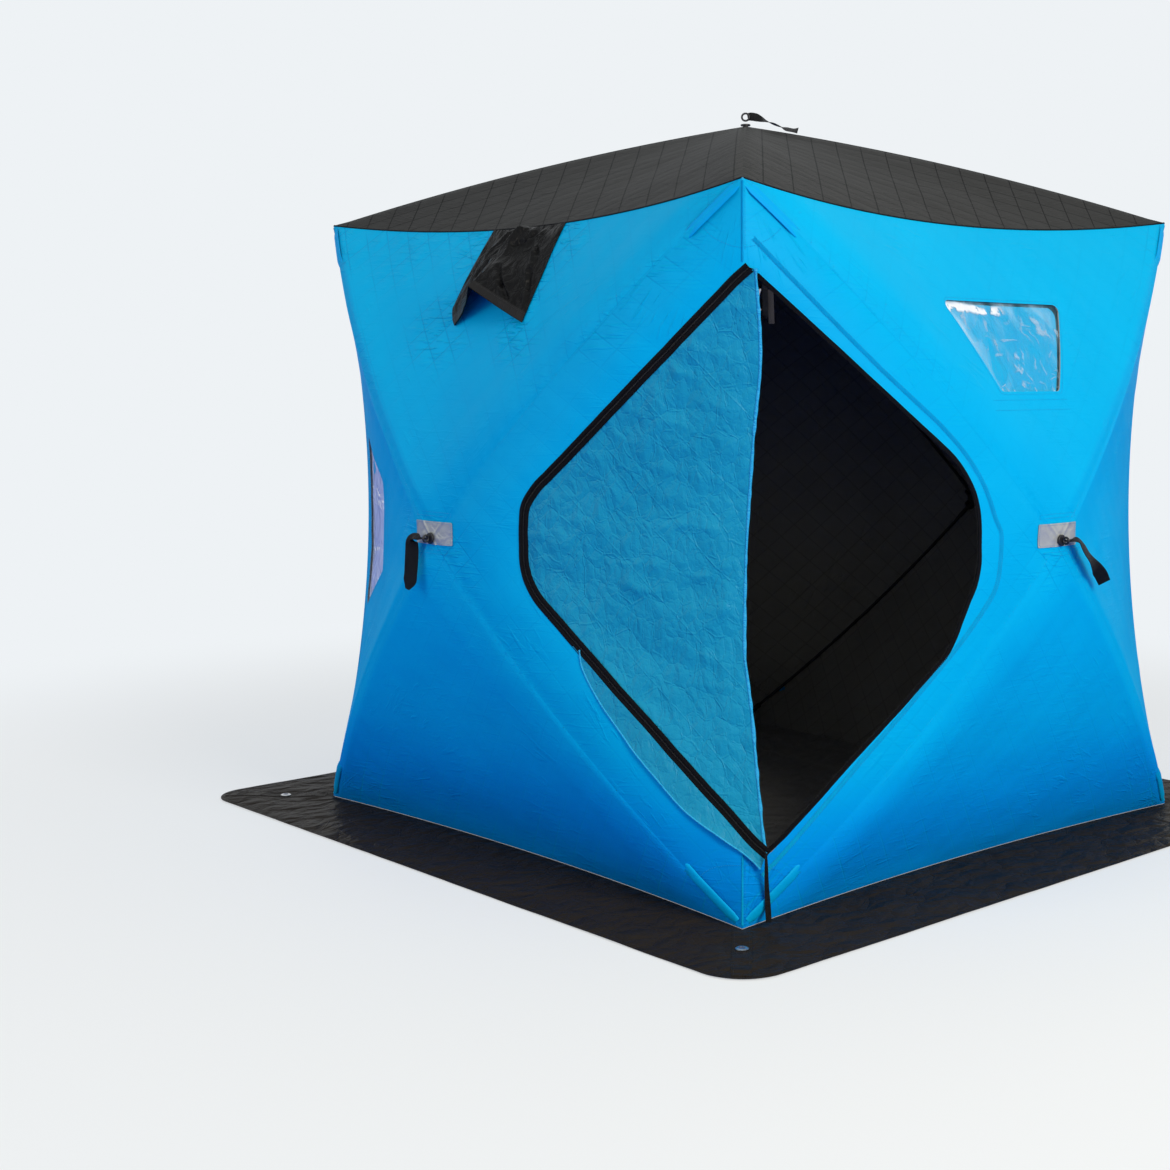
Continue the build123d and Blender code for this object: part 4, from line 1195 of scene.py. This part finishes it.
def backed(name, wall, outline, depth, thickness, cell, slack, seed, material, sideways=False):
    """A thin sheet sewn behind an opening of a wall, rippled by its slack."""
    flat, triangles = cut_pattern(outline, cell)
    points, _ = wall_skin(wall, flat)
    out = turned(OUT, wall_turns[wall])
    gap = away_from(flat, [outline])
    lift = creases(flat, ((0.13, slack), (0.06, slack * 0.5)), seed) * np.clip(gap / 0.04, 0, 1)
    outer = points + (lift - depth)[:, None] * out
    triangles = facing_out(outer, triangles, out)
    across = flat[:, ::-1] * [1, -1] if sideways else flat
    middle, reach = (across.max(0) + across.min(0)) / 2, (across.max(0) - across.min(0)) / 2
    return sewn_sheet(name, outer, outer - thickness * out, triangles, [material],
                      {"flat": flat + seed, "frame": (across - middle) / reach})


top_window = [(x, z + hub_height) for x, z in window_corners]
top_cover = [(x, z + hub_height - cover_drop) for x, z in ((-0.137, window_near), (0.117, window_near),
                                                           (0.243, window_far), (-0.262, window_far))]
window_edges = []
for number, (wall, sideways) in enumerate((("front", True), ("right", False), ("back", True), ("left", False))):
    opening, cover = ([(-(z - hub_height), hub_height + x) for x, z in shape] if sideways else shape
                      for shape in (top_window, top_cover))
    opening = np.array(opening)
    off_middle = np.sign(opening - np.mean(opening, axis=0))
    film = backed(f"{wall}_window_film", wall, rounded(opening + film_lap * off_middle, [window_radius] * 4),
                  film_depth, film_cloth, 0.009, film_slack, 41 + number, film_material, sideways)
    fitted(film, "window_film", f"{wall}_wall_window")
    cloth_piece = backed(f"{wall}_window_cover", wall, rounded(cover, [window_radius] * 4), cover_depth, cover_cloth,
                         0.010, cover_slack, 51 + number, cover_material)
    if wall == "front":
        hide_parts("window_covers")
    fitted(cloth_piece, "wall_cloth")
    ring = rounded(opening + 0.007 * off_middle, [window_radius] * 4)
    window_edges.append(wall_skin(wall, closed(ring), 0.0008))
    for below in (0.362, 0.336):
        run = np.stack([np.linspace(-0.175, 0.145, 60), np.full(60, hub_height + below)], -1)
        run = np.stack([hub_height - run[:, 1], hub_height + run[:, 0]], -1) if sideways else run
        window_edges.append(wall_skin(wall, run, 0.0008))
window_stitching = beaded("window_stitching", window_edges, stitch_spacing, stitch_size, blue_thread)
fitted(window_stitching, "wall_cloth")

# Vents: black knitted mesh sewn behind each opening, under a hood of black coated polyester whose
# two panels meet on a ridge and stand off the wall like a peaked cap.

mesh_pitch = 0.0018
hood_top_width, hood_foot_width, hood_foot_height = 0.320, 0.344, 1.440
hood_ridge_out, hood_ridge_height = 0.142, 1.541
hood_aside = (0.0165, 0.008)            # of its top and foot to the right of the middle
hood_cloth, hood_gap = 0.0012, 0.0030   # the gap is between its edges and the wall
hood_flat = np.array([0.18, 0.27])      # one panel laid out: across and down
hood_sag = 0.010
hood_folds = ((0.085, 0.0150), (0.042, 0.0090), (0.022, 0.0034))        # size and height
crease_depth, crease_width = 0.0115, 0.0075
crease_sides, crease_spread = 0.0070, 0.020     # the cloth stands up on both sides of a crease
crease_lines = [((0.73, 0.53), (0.96, 0.84)), ((0.13, 0.62), (0.37, 0.78)), ((0.37, 0.78), (0.58, 0.88)),
                ((0.45, 0.14), (0.69, 0.35)), ((-0.2, 0.2), (-0.6, 0.55)), ((0.05, 0.30), (0.32, 0.12))]
hem_share, hem_step = 0.905, 0.0009     # where the hem starts, and how far it stands up
mesh_depth, mesh_cloth, mesh_slack, mesh_lap = 0.0055, 0.0006, 0.0008, 0.012

# dull black threads round small even holes that show what is behind them
mesh_material, tree = new_material("black_knitted_mesh")
flat_place = add(tree, "UVMap", uv_map="flat")
cells = add(tree, "TexVoronoi", {"Vector": flat_place, "Scale": 1 / mesh_pitch, "Randomness": 0.15})
threads = add(tree, "Math", {0: cells, 1: 0.34}, operation="GREATER_THAN")
finished(mesh_material, tree, linear("#171718"), cells, 0.5, 0.0004, Roughness=0.6, Alpha=threads)
hood_material = thin_cloth("black_hood_polyester", "#0E0E0E", "#141414", 0.030, 3.4, 0.34, 0.08)


def bezier_through(start, middle, end, t):
    """A quadratic curve that passes through three points."""
    t = np.asarray(t)[..., None]
    control = 2 * middle - (start + end) / 2
    return (1 - t) ** 2 * start + 2 * t * (1 - t) * control + t ** 2 * end


eave_z = wall_height - eave_draw
rows, columns = 54, 91
down = np.linspace(0, 1, rows)
across = np.linspace(-1, 1, columns)


def hood_edge(sign):
    """One side edge of the hood, sewn to the front wall from the eave down."""
    top_x, foot_x = sign * hood_top_width / 2 + hood_aside[0], sign * hood_foot_width / 2 + hood_aside[1]
    top_z = wall_height - eave_draw * (1 - (top_x / half) ** 2)
    line = bezier_through(np.array([top_x, top_z]), np.array([(top_x + foot_x) / 2, (top_z + hood_foot_height) / 2]),
                          np.array([foot_x, hood_foot_height]), down)
    if sign < 0:            # the last of the left edge isn't sewn, and turns down
        line = smooth_line([*line[:-8:6], (foot_x + 0.003, hood_foot_height + 0.046),
                            (foot_x + 0.018, hood_foot_height + 0.020), (foot_x + 0.041, hood_foot_height - 0.002)],
                           0.002)
        line = line[np.linspace(0, len(line) - 1, rows).astype(int)]
    return wall_skin("front", line)[0] + OUT * hood_gap


ridge_foot = np.array([hood_aside[0], eave_draw - half - 0.0040, eave_z + 0.001])
ridge_tip = np.array([hood_aside[1], -half - hood_ridge_out, hood_ridge_height - 0.004])
ridge = ridge_foot + down[:, None] * (ridge_tip - ridge_foot)
share = np.abs(across)[None, :, None]
side_edge = np.where((across < 0)[None, :, None], hood_edge(-1)[:, None], hood_edge(1)[:, None])
grid = ridge[:, None] * (1 - share) + side_edge * share
grid[0, :, 2] = wall_height - eave_draw * (1 - (grid[0, :, 0] / half) ** 2)
flat = np.stack(np.meshgrid(across * 0.20, down * 0.27), -1).reshape(-1, 2)
sag = (4 * np.abs(across) * (1 - np.abs(across)))[None, :] * (0.35 + 0.65 * down[:, None])
folds = creases(flat * [1.0, 0.60], hood_folds, 91).reshape(rows, columns)
ruck = np.clip(1.15 - 1.3 * down, 0.12, 1)[:, None] * np.clip(1.15 - 0.9 * np.maximum(across, 0), 0.3, 1)[None, :]
fixed = np.clip(np.minimum(down[:, None] / 0.08, (1 - np.abs(across))[None, :] / 0.12), 0, 1)
lift = -hood_sag * sag + folds * ruck * fixed
spread = np.stack(np.meshgrid(across, down), -1).reshape(-1, 2)
for start, end in crease_lines:
    gap = near_line(spread * hood_flat, start * hood_flat, end * hood_flat)
    crease = crease_sides * np.exp(-(gap / crease_spread) ** 2) - crease_depth * np.exp(-(gap / crease_width) ** 2)
    lift += crease.reshape(rows, columns) * fixed
lift = lift + hem_step * (down[:, None] > 0.915)
outward = np.array([0, -0.80, 0.60])
outer = (grid + lift[..., None] * outward).reshape(-1, 3)
skin_below = wall_skin("front", outer[:, [0, 2]] - [0, 0.001])[0]
outer[:, 1] = np.minimum(outer[:, 1], skin_below[:, 1] - 0.0028)        # off the wall all over
triangles = np.array([t for i in range(rows - 1) for j in range(columns - 1)
                      for t in ((i * columns + j, (i + 1) * columns + j, (i + 1) * columns + j + 1),
                                (i * columns + j, (i + 1) * columns + j + 1, i * columns + j + 1))])
triangles = facing_out(outer, triangles, outward)
inner = outer - hood_cloth * outward
hood_rows = outer.reshape(rows, columns, 3)
hem_row = int(hem_share * rows)
facing = unit(np.cross(np.gradient(hood_rows, axis=1), np.gradient(hood_rows, axis=0)))
facing *= np.sign(facing @ outward)[..., None]
band_outer = (hood_rows + 0.0012 * facing)[hem_row:].reshape(-1, 3)
band_inner = (hood_rows + 0.0001 * facing)[hem_row:].reshape(-1, 3)
band_flat = flat.reshape(rows, columns, 2)[hem_row:].reshape(-1, 2) * [1.0, 0.4]
band_triangles = triangles[(triangles >= hem_row * columns).all(1)] - hem_row * columns
hood_hem_material = thin_cloth("black_hood_hem", "#1D1C1B", "#252423", 0.016, 1.0, 0.40, 0.10)
hem_stitch_line = hood_rows[hem_row + 1] + 0.0016 * outward
hood_hem_section = [(-0.0012, -0.0020), (0.0012, -0.0020), (0.0016, 0.0004), (-0.0016, 0.0004)]
hem_ups = np.tile(outward, (columns, 1))
hood_seams = []
for wall, turns in (("front", 0), ("back", 2)):
    outline = oblong((-0.1 - mesh_lap, vent_top - 0.09 - mesh_lap), (0.1 + mesh_lap, vent_top + mesh_lap), 0.03)
    mesh_piece = backed(f"{wall}_vent_mesh", wall, outline, mesh_depth, mesh_cloth, 0.010, mesh_slack, 61 + turns,
                        mesh_material)
    fitted(mesh_piece, "vent_mesh")
    if wall == "front":
        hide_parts("vent_meshes")
    hood = sewn_sheet(f"{wall}_hood_cloth", turned(outer, turns), turned(inner, turns), triangles,
                      [hood_material, hood_material], {"flat": flat + turns})
    binding = swept(f"{wall}_hood_hem", turned(hood_rows[-1], turns), turned(hem_ups, turns), hood_hem_section,
                    hood_material)
    hem_band = sewn_sheet(f"{wall}_hood_hem_band", turned(band_outer, turns), turned(band_inner, turns),
                          band_triangles, [hood_hem_material, hood_hem_material], {"flat": band_flat + turns})
    hood_seams.append((turned(hem_stitch_line, turns), turned(hem_ups, turns)))
    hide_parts(f"{wall}_vent_hood")
    for piece in (hood, binding, hem_band):
        fitted(piece, "hood_cloth")
hood_stitching = beaded("hood_stitching", hood_seams, stitch_spacing, stitch_size, black_thread)
fitted(hood_stitching, "hood_cloth")

# Reflective patches: grey reflective tape stitched over the cloth round each wall hub, with a hole
# for the hub, and a narrow stitched band above it and below it.

patch_width, patch_height, patch_rise, patch_hole = 0.160, 0.060, 0.014, 0.0092
patch_middle = np.array([0, hub_height + patch_rise])
patch_lift, patch_cloth = 0.0026, 0.0012

# a dull metallic sheen over a fine grain of glass beads, rubbed paler in places
patch_material, tree = new_material("grey_reflective_tape")
flat_place = add(tree, "UVMap", uv_map="flat")
beads_seen = add(tree, "TexVoronoi", {"Vector": flat_place, "Scale": 1300.0})
rub = add(tree, "TexNoise", {"Vector": flat_place, "Scale": 40.0, "Detail": 5.0})
creased = add(tree, "TexNoise", {"Vector": flat_place, "Scale": 26.0, "Distortion": 1.0})
height = add(tree, "Math", {0: beads_seen, 1: 0.02, 2: creased}, operation="MULTIPLY_ADD")
finished(patch_material, tree, painted(tree, "#A4A7A0", (rub, "#BCBEB6")), height, 0.7, 0.004, Roughness=0.38,
         Metallic=0.25)

patch_half = np.array([patch_width / 2, patch_height / 2])
patch_line = oblong(patch_middle - patch_half, patch_middle + patch_half, 0.003, 0.004)
seam_inset = 0.004
patch_seam_line = oblong(patch_middle - patch_half + seam_inset, patch_middle + patch_half - seam_inset, 0.003, 0.004)
hub_ring = hole_line((0, hub_height), patch_hole, 24)
patch_sheets, patch_lines = [], []
flat, triangles = cut_pattern(patch_line, 0.0045, [closed(hub_ring)], [hub_ring])
for wall, turns in wall_turns.items():
    out = turned(OUT, turns)
    outer = wall_skin(wall, flat)[0] + patch_lift * out
    patch_sheets.append(sewn_sheet("patch", outer, outer - patch_cloth * out, facing_out(outer, triangles, out),
                                   [patch_material], {"flat": flat + turns}))
    line, line_ups = wall_skin(wall, closed(patch_seam_line))
    patch_lines.append((line + (patch_lift + stitch_lift) * out, line_ups))
    for low, high, reach in ((0.058, 0.068, 0.075), (-0.030, -0.040, 0.060)):
        ring = oblong((-reach, hub_height + low), (reach, hub_height + high), 0.001, 0.004)
        patch_lines.append(wall_skin(wall, closed(ring), 0.0008))
patches = joined("hub_patches", patch_sheets)
fitted(patches, "reflective_cloth", "reflective_patches")
patch_stitching = beaded("patch_stitching", patch_lines, stitch_spacing, stitch_size, blue_thread)
fitted(patch_stitching, "wall_cloth")

# Pull straps: a moulded ring on each hub holds a narrow neck of webbing that widens into a strap
# with a rounded end; they hang, twist or lie as the hut was put up.

strap_thickness = 0.0020
ring_radius, ring_wire = 0.0112, 0.0030
webbing_material = woven("black_webbing", "#121213", 0.0021, 0.50, 0.20, 0.0005)
# near black, with the fine grain of its mould and paler, rougher scuffs
plastic_material, tree = new_material("black_moulded_nylon")
place = add(tree, "TexCoord", out="Object")
grain = add(tree, "TexNoise", {"Vector": place, "Scale": 1500.0, "Detail": 2.0})
scuffs = add(tree, "TexNoise", {"Vector": place, "Scale": 70.0, "Detail": 5.0, "Distortion": 0.5})
rough = add(tree, "MapRange", {"Value": scuffs, "To Min": 0.35, "To Max": 0.60})
finished(plastic_material, tree, painted(tree, "#161617", (scuffs, "#242426")), grain, 0.35, 0.0006, Roughness=rough)


def strap_along(name, knots, material=webbing_material, thickness=strap_thickness):
    """Webbing through knots: each is a place, the way its face looks, and its width."""
    places = np.array([k[0] for k in knots], float)
    values = np.concatenate([places, [k[1] for k in knots], [[k[2]] for k in knots]], 1)
    run = smooth_line(values, 0.0035)
    line, ups, widths = run[:, :3], unit(run[:, 3:6]), run[:, 6]
    section = [(-0.5, -thickness / 2), (-0.47, -thickness / 2), (0.47, -thickness / 2), (0.5, -thickness / 4),
               (0.5, thickness / 4), (0.47, thickness / 2), (-0.47, thickness / 2), (-0.5, thickness / 4)]
    return swept(name, line, ups, section, material, widths)


# knots from the cap of the hub: across, out and up; the face's direction; width
strap_knots = {
    "front": [(0.004, 0.012, 0, 0, 1, 0, 0.006), (-0.018, 0.014, 0, 0, 0.9, 0.4, 0.006),
              (-0.03, 0.016, 0.001, 0, 0.4, 0.9, 0.02), (-0.044, 0.017, 0.002, -0.2, 0.5, 0.8, 0.033),
              (-0.054, 0.017, -0.007, 0.3, 0.8, 0.4, 0.036), (-0.0555, 0.016, -0.035, 0.65, 0.75, 0, 0.036),
              (-0.0594, 0.015, -0.067, 0.65, 0.75, 0, 0.036), (-0.0672, 0.012, -0.098, 0.6, 0.8, 0.1, 0.036),
              (-0.073, 0.011, -0.1185, 0.6, 0.8, 0.1, 0.035), (-0.083, 0.012, -0.1395, 0.6, 0.8, 0.1, 0.012)],
    "right": [(0, 0.008, 0, 0, 1, 0, 0.006), (0.0075, 0.012, -0.001, 0, 0.8, 0.6, 0.006),
              (0.025, 0.016, 0, 0, 0.5, 0.85, 0.012), (0.0373, 0.018, -0.001, 0.1, 0.5, 0.85, 0.026),
              (0.0514, 0.018, -0.0075, 0.3, 0.75, 0.5, 0.034), (0.0725, 0.018, -0.027, 0.32, 0.89, 0.33, 0.036),
              (0.0963, 0.017, -0.05, 0.32, 0.89, 0.33, 0.036), (0.1166, 0.016, -0.0695, 0.1, 0.95, 0.1, 0.036),
              (0.137, 0.014, -0.086, -0.35, 0.85, -0.2, 0.036), (0.1537, 0.013, -0.1, -0.49, 0.77, -0.42, 0.036),
              (0.1704, 0.012, -0.1207, -0.49, 0.77, -0.42, 0.034)],
    "roof": [(0.006, 0.022, 0, 0, 0, -1, 0.022), (0.016, 0.0235, 0, 0, 0, -1, 0.025),
             (0.03, 0.0215, 0, 0, 0.1, -1, 0.025), (0.046, 0.016, 0, 0.3, 0.6, -0.8, 0.026),
             (0.062, 0.01, 0.001, 0.3, 1, -0.35, 0.03), (0.085, 0.0015, 0.002, 0.3, 1, 0, 0.034),
             (0.108, -0.008, 0.001, 0.2, 1, -0.1, 0.036), (0.125, -0.015, 0, 0.1, 0.9, -0.4, 0.036),
             (0.145, -0.0195, -0.002, 0.1, 0.9, -0.42, 0.036), (0.16, -0.0205, -0.004, -0.2, 0.8, -0.55, 0.036)],
}
strap_knots["back"], strap_knots["left"] = strap_knots["front"], strap_knots["right"]
pulls = []
for wall in (*wall_turns, "roof"):
    if wall == "roof":
        right, out, high = np.array([1, 1, 0]) / math.sqrt(2), UP, np.array([-1, 1, 0]) / math.sqrt(2)
        base = np.array([0, 0, wall_height + roof_rise + 0.0066])
    else:
        right, high = turned(np.array([1.0, 0, 0]), wall_turns[wall]), UP
        out = turned(OUT, wall_turns[wall])
        base = turned(np.array([0, -half - hub_pop - 0.0066, hub_height]), wall_turns[wall])
    knots = [(base + a * right + o * out + u * high, x * right + y * out + z * high, width)
             for a, o, u, x, y, z, width in strap_knots[wall]]
    pulls.append(strap_along("strap", knots))
    spin = np.linspace(0, 2 * math.pi, 29)[:, None]
    lie = right if wall == "roof" else high
    ring_middle = base + out * (0.022 if wall == "roof" else 0.0105)
    circle = ring_middle + ring_radius * (np.cos(spin) * out + np.sin(spin) * lie) * (1.0 if wall == "roof" else 0.72)
    pulls.append(swept("ring", circle, np.tile(np.cross(out, lie), (29, 1)), round_section(ring_wire),
                       plastic_material))
pull_pieces = joined("hub_pulls", pulls)
fitted(pull_pieces, "webbing", "pull_straps")

# Slider, pull strap and door ties: a brass slider stopped at the foot of the zip with a webbing pull
# that hangs to the skirt, and a toggle and two webbing ties at the top of the opening.


def grained(name, dark, light, scale, detail, strength, depth, roughness, metallic=0.0, distortion=0.0):
    """Metal or plastic whose tone and relief follow one fine grain; roughness is one value or its two ends."""
    material, tree = new_material(name)
    place = add(tree, "TexCoord", out="Object")
    grain = add(tree, "TexNoise", {"Vector": place, "Scale": scale, "Detail": detail, "Distortion": distortion})
    if isinstance(roughness, tuple):
        roughness = add(tree, "MapRange", {"Value": grain, "To Min": roughness[0], "To Max": roughness[1]})
    return finished(material, tree, painted(tree, dark, (grain, light)), grain, strength, depth, Roughness=roughness,
                    Metallic=metallic)


brass_material = grained("worn_brass", "#4A3B22", "#8A7448", 260.0, 4.0, 0.3, 0.0005, 0.35, 1.0)
slider_path = np.stack([np.linspace(0.050, 0.060, 9), np.linspace(0.184, 0.168, 9)], -1)
slider_section = [(-0.004, -0.003), (0.004, -0.003), (0.0046, 0), (0.0032, 0.0028), (-0.0032, 0.0028), (-0.0046, 0)]
slider = swept("zip_slider", *door_skin("right", slider_path, 0.004), slider_section, brass_material,
               [0.55, 0.9, 1, 0.85, 0.7, 0.7, 0.85, 0.95, 0.7])
outside = np.array([1, -1, 0]) / math.sqrt(2)
acrosswise = np.array([1, 1, 0]) / math.sqrt(2)


def by_corner(s, z, off):
    """A place beside the door corner: across it, up, and out from the corner's seam there."""
    seam_point = corner_seam[np.argmin(np.abs(corner_seam[:, 2] - z))]
    middle = (seam_point[0] - seam_point[1]) / 2
    return np.array([middle, -middle, z]) + s * acrosswise + off * outside


pull = strap_along("slider_pull", [(by_corner(0.055, 0.176, 0.020), outside, 0.005),
                                   (by_corner(0.056, 0.150, 0.024), outside + 0.1 * acrosswise, 0.008),
                                   (by_corner(0.057, 0.100, 0.010), outside, 0.011),
                                   (by_corner(0.060, 0.050, 0.000), outside + 0.3 * acrosswise, 0.014),
                                   (by_corner(0.062, 0.016, -0.004), outside, 0.014)], webbing_material, 0.0016)
tie_material = woven("grey_tie_webbing", "#3A3735", 0.0018, 0.55)
ties = [strap_along("tie", [(by_corner(0.050, 1.535, -0.012), outside, 0.012),
                            (by_corner(0.053, 1.500, -0.010), outside, 0.013),
                            (by_corner(0.054, 1.452, -0.006), outside, 0.013),
                            (by_corner(0.050, 1.440, -0.014), -outside, 0.012),
                            (by_corner(0.046, 1.470, -0.020), -outside, 0.012)], webbing_material, 0.0014),
        strap_along("tie", [(by_corner(0.066, 1.530, -0.014), outside, 0.013),
                            (by_corner(0.067, 1.480, -0.012), outside, 0.014),
                            (by_corner(0.069, 1.424, -0.010), outside, 0.014)], tie_material, 0.0014)]
toggle_turn = np.linspace(-1.5, 1.5, 17)[:, None]
toggle_path = (by_corner(0.044, 1.480, -0.006) + 0.026 * np.sin(toggle_turn) * UP
               - 0.008 * np.cos(toggle_turn) * acrosswise)
toggle_material = grained("pale_moulded_plastic", "#8F9395", "#B9BCBD", 180.0, 3.0, 0.2, 0.0006, 0.40)
toggle = swept("door_toggle", toggle_path, np.tile(outside, (17, 1)), round_section(0.0036), toggle_material,
               [0.5, 0.8] + [1.0] * 13 + [0.8, 0.5])
door_ties = joined("door_ties", ties)
for piece, finish in ((slider, "grommet_metal"), (pull, "webbing"), (door_ties, "webbing"),
                      (toggle, "socket_plastic")):
    fitted(piece, finish)

# Skirt: a band of black coated polyester sewn to the foot of the walls, spread on the ice, with
# puckers along the seam and folds that run across it; its corners are doubled with tape.

skirt_reach, skirt_corner = 0.280, 0.120
skirt_cell = 0.0125
skirt_cloth = 0.0012
skirt_folds = ((0.16, 0.55), (0.07, 0.30), (0.035, 0.15))       # size, and share of the height
fold_height, pucker_height = 0.0072, 0.0028
grommet_centre, grommet_barrel = half + 0.105, 0.0108
skirt_material = thin_cloth("black_skirt_polyester", "#27221E", "#2F2A25", 0.050, 3.4, 0.38, 0.015)
foot_seam = on_gore(front_gore("bottom"), np.linspace(1, 0, 120), np.ones(120))[:-1, :2]
foot_ring = np.concatenate([turned(np.c_[foot_seam, np.zeros(119)], k)[:, :2] for k in range(4)])
skirt_out = half + skirt_reach
skirt_line = oblong((-skirt_out, -skirt_out), (skirt_out, skirt_out), skirt_corner, 0.012)
grommet_spots = [(x * grommet_centre, y * grommet_centre) for x in (-1, 1) for y in (-1, 1)]
holes = [hole_line(spot, grommet_barrel, 20) for spot in grommet_spots]


def skirt_height(flat):
    """Height of the skirt's top over the ice: folds and puckers, flat under the walls and the grommets."""
    from_wall = away_from(flat, [foot_ring])
    from_edge = away_from(flat, [skirt_line])
    from_grommet = away_from(flat, [grommet_spots])
    front_back = np.abs(flat[:, 1]) > np.abs(flat[:, 0])
    along = np.where(front_back, flat[:, 0], flat[:, 1])
    folds = 0.5 + 0.5 * creases(flat * 0.7, skirt_folds, 101)
    pucker = 0.5 + 0.5 * noise(along, from_wall * 0.2, 0.022, 107)
    height = (fold_height * np.clip(folds, 0, 1) * np.clip(from_wall / 0.05, 0, 1)
              * (0.35 + 0.65 * np.clip(from_edge / 0.06, 0, 1)))
    height += pucker_height * pucker * np.clip((from_wall - 0.006) / 0.02, 0, 1) * np.clip(1 - from_wall / 0.10, 0, 1)
    return 0.0020 + height * np.clip((from_grommet - 0.018) / 0.05, 0, 1)


slits = [closed(ring) for ring in (foot_ring, *holes)]
flat, triangles = cut_pattern(skirt_line, skirt_cell, slits, [foot_ring, *holes])
outer = np.c_[flat, skirt_height(flat)]
inner = np.c_[flat, np.maximum(outer[:, 2] - skirt_cloth, 0.0003)]
piece = sewn_sheet("skirt_cloth_ring", outer, inner, triangles, [skirt_material], {"flat": flat})
fitted(piece, "skirt_cloth", "snow_skirt")

tape_width, tape_start, tape_end = 0.046, 1.295, 1.606
tape_lift, tape_cloth = 0.0011, 0.0009
tape_sheets = []
tape_line = oblong((tape_start, -tape_width / 2), (tape_end, tape_width / 2), 0.002)
tape_hole = hole_line((grommet_centre * math.sqrt(2), 0), grommet_barrel, 20)


def across_corner(flat, turns):
    """Flat points along a line, laid over a corner's diagonal instead."""
    x, y = flat.T
    return turned(np.stack([(x + y) / math.sqrt(2), (y - x) / math.sqrt(2), x * 0], -1), turns)


flat, triangles = cut_pattern(tape_line, 0.008, [closed(tape_hole)], [tape_hole])
skirt_seams = []
for turns in range(4):
    laid = across_corner(flat, turns)
    outer = np.c_[laid[:, :2], skirt_height(laid[:, :2]) + tape_lift]
    tape_sheets.append(sewn_sheet("tape", outer, outer - [0, 0, tape_cloth], triangles, [skirt_material],
                                  {"flat": flat}))
    for aside in (-0.017, 0.017):
        run = np.stack([np.linspace(tape_start, tape_end - 0.004, 60), np.full(60, aside)], -1)
        spot = across_corner(run, turns)
        spot[:, 2] = skirt_height(spot[:, :2]) + 0.0016
        skirt_seams.append((spot, np.tile(UP, (60, 1))))
corner_tapes = joined("skirt_corner_strips", tape_sheets)
fitted(corner_tapes, "skirt_tape", "skirt_corner_tapes")
hem_line = beside(closed(skirt_line), 0.014)
skirt_seams.append((np.c_[hem_line, skirt_height(hem_line) + 0.0006], np.tile(UP, (len(hem_line), 1))))
skirt_stitching = beaded("skirt_stitching", skirt_seams, stitch_spacing, stitch_size, black_thread)
fitted(skirt_stitching, "skirt_cloth")

# Groundsheet: black coated oxford, laid on the skirt's seam inside the foot of the walls, where it
# turns up a little, and trodden into low folds.

# painted light: the oxford is black, but it is given a pale grey that stands in for the light reaching the floor
# inside the hut
ground_material = thin_cloth("black_ground_oxford_painted_pale", "#989693", "#A4A29F", 0.060, 1.6, 0.42, 0.20)
ground_slack = 0.0002       # of its size, inside the walls
ground_top, ground_cloth = 0.0007, 0.0008
ground_fold = 0.0052        # height of its folds
ground_folds = ((0.35, 0.5), (0.15, 0.25))      # size, and share of that height
turn_up, turned_edge = 0.0027, 0.020    # where it meets the walls: how high and how wide
ground_line = foot_ring * (1 - ground_slack)
flat, triangles = cut_pattern(ground_line, 0.022)
from_wall = away_from(flat, [ground_line])
height = (ground_top + ground_fold * np.clip(0.4 + creases(flat, ground_folds, 121), 0, 1)
          * np.clip((from_wall - 0.025) / 0.1, 0, 1))
height += turn_up * np.clip(1 - from_wall / turned_edge, 0, 1)
outer = np.c_[flat, height]
inner = np.c_[flat, np.maximum(height - ground_cloth, 0.0003)]
piece = sewn_sheet("ground_cloth_sheet", outer, inner, triangles, [ground_material], {"flat": flat})
fitted(piece, "ground_cloth", "ground_sheet")

# Frame parts from the CAD: moulded nylon hubs and corner sockets, pultruded rods in steel ferrules,
# and pressed aluminium grommets.

rod_material = grained("black_pultruded_glass_fibre", "#1C1C1D", "#2E2E30", 340.0, 4.0, 0.3, 0.0004, 0.35)
pressed_material = grained("pressed_aluminium", "#A9ABAD", "#D4D6D8", 420.0, 6.0, 0.15, 0.0004, (0.22, 0.50), 1.0,
                           0.6)
for node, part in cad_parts.items():
    for ending, material in (("_hub", plastic_material), ("_sockets", plastic_material), ("_rods", rod_material),
                             ("_grommets", pressed_material)):
        if node.endswith(ending):
            for place in range(len(part.material_slots)):
                part.material_slots[place].material = material

bpy.context.view_layer.update()
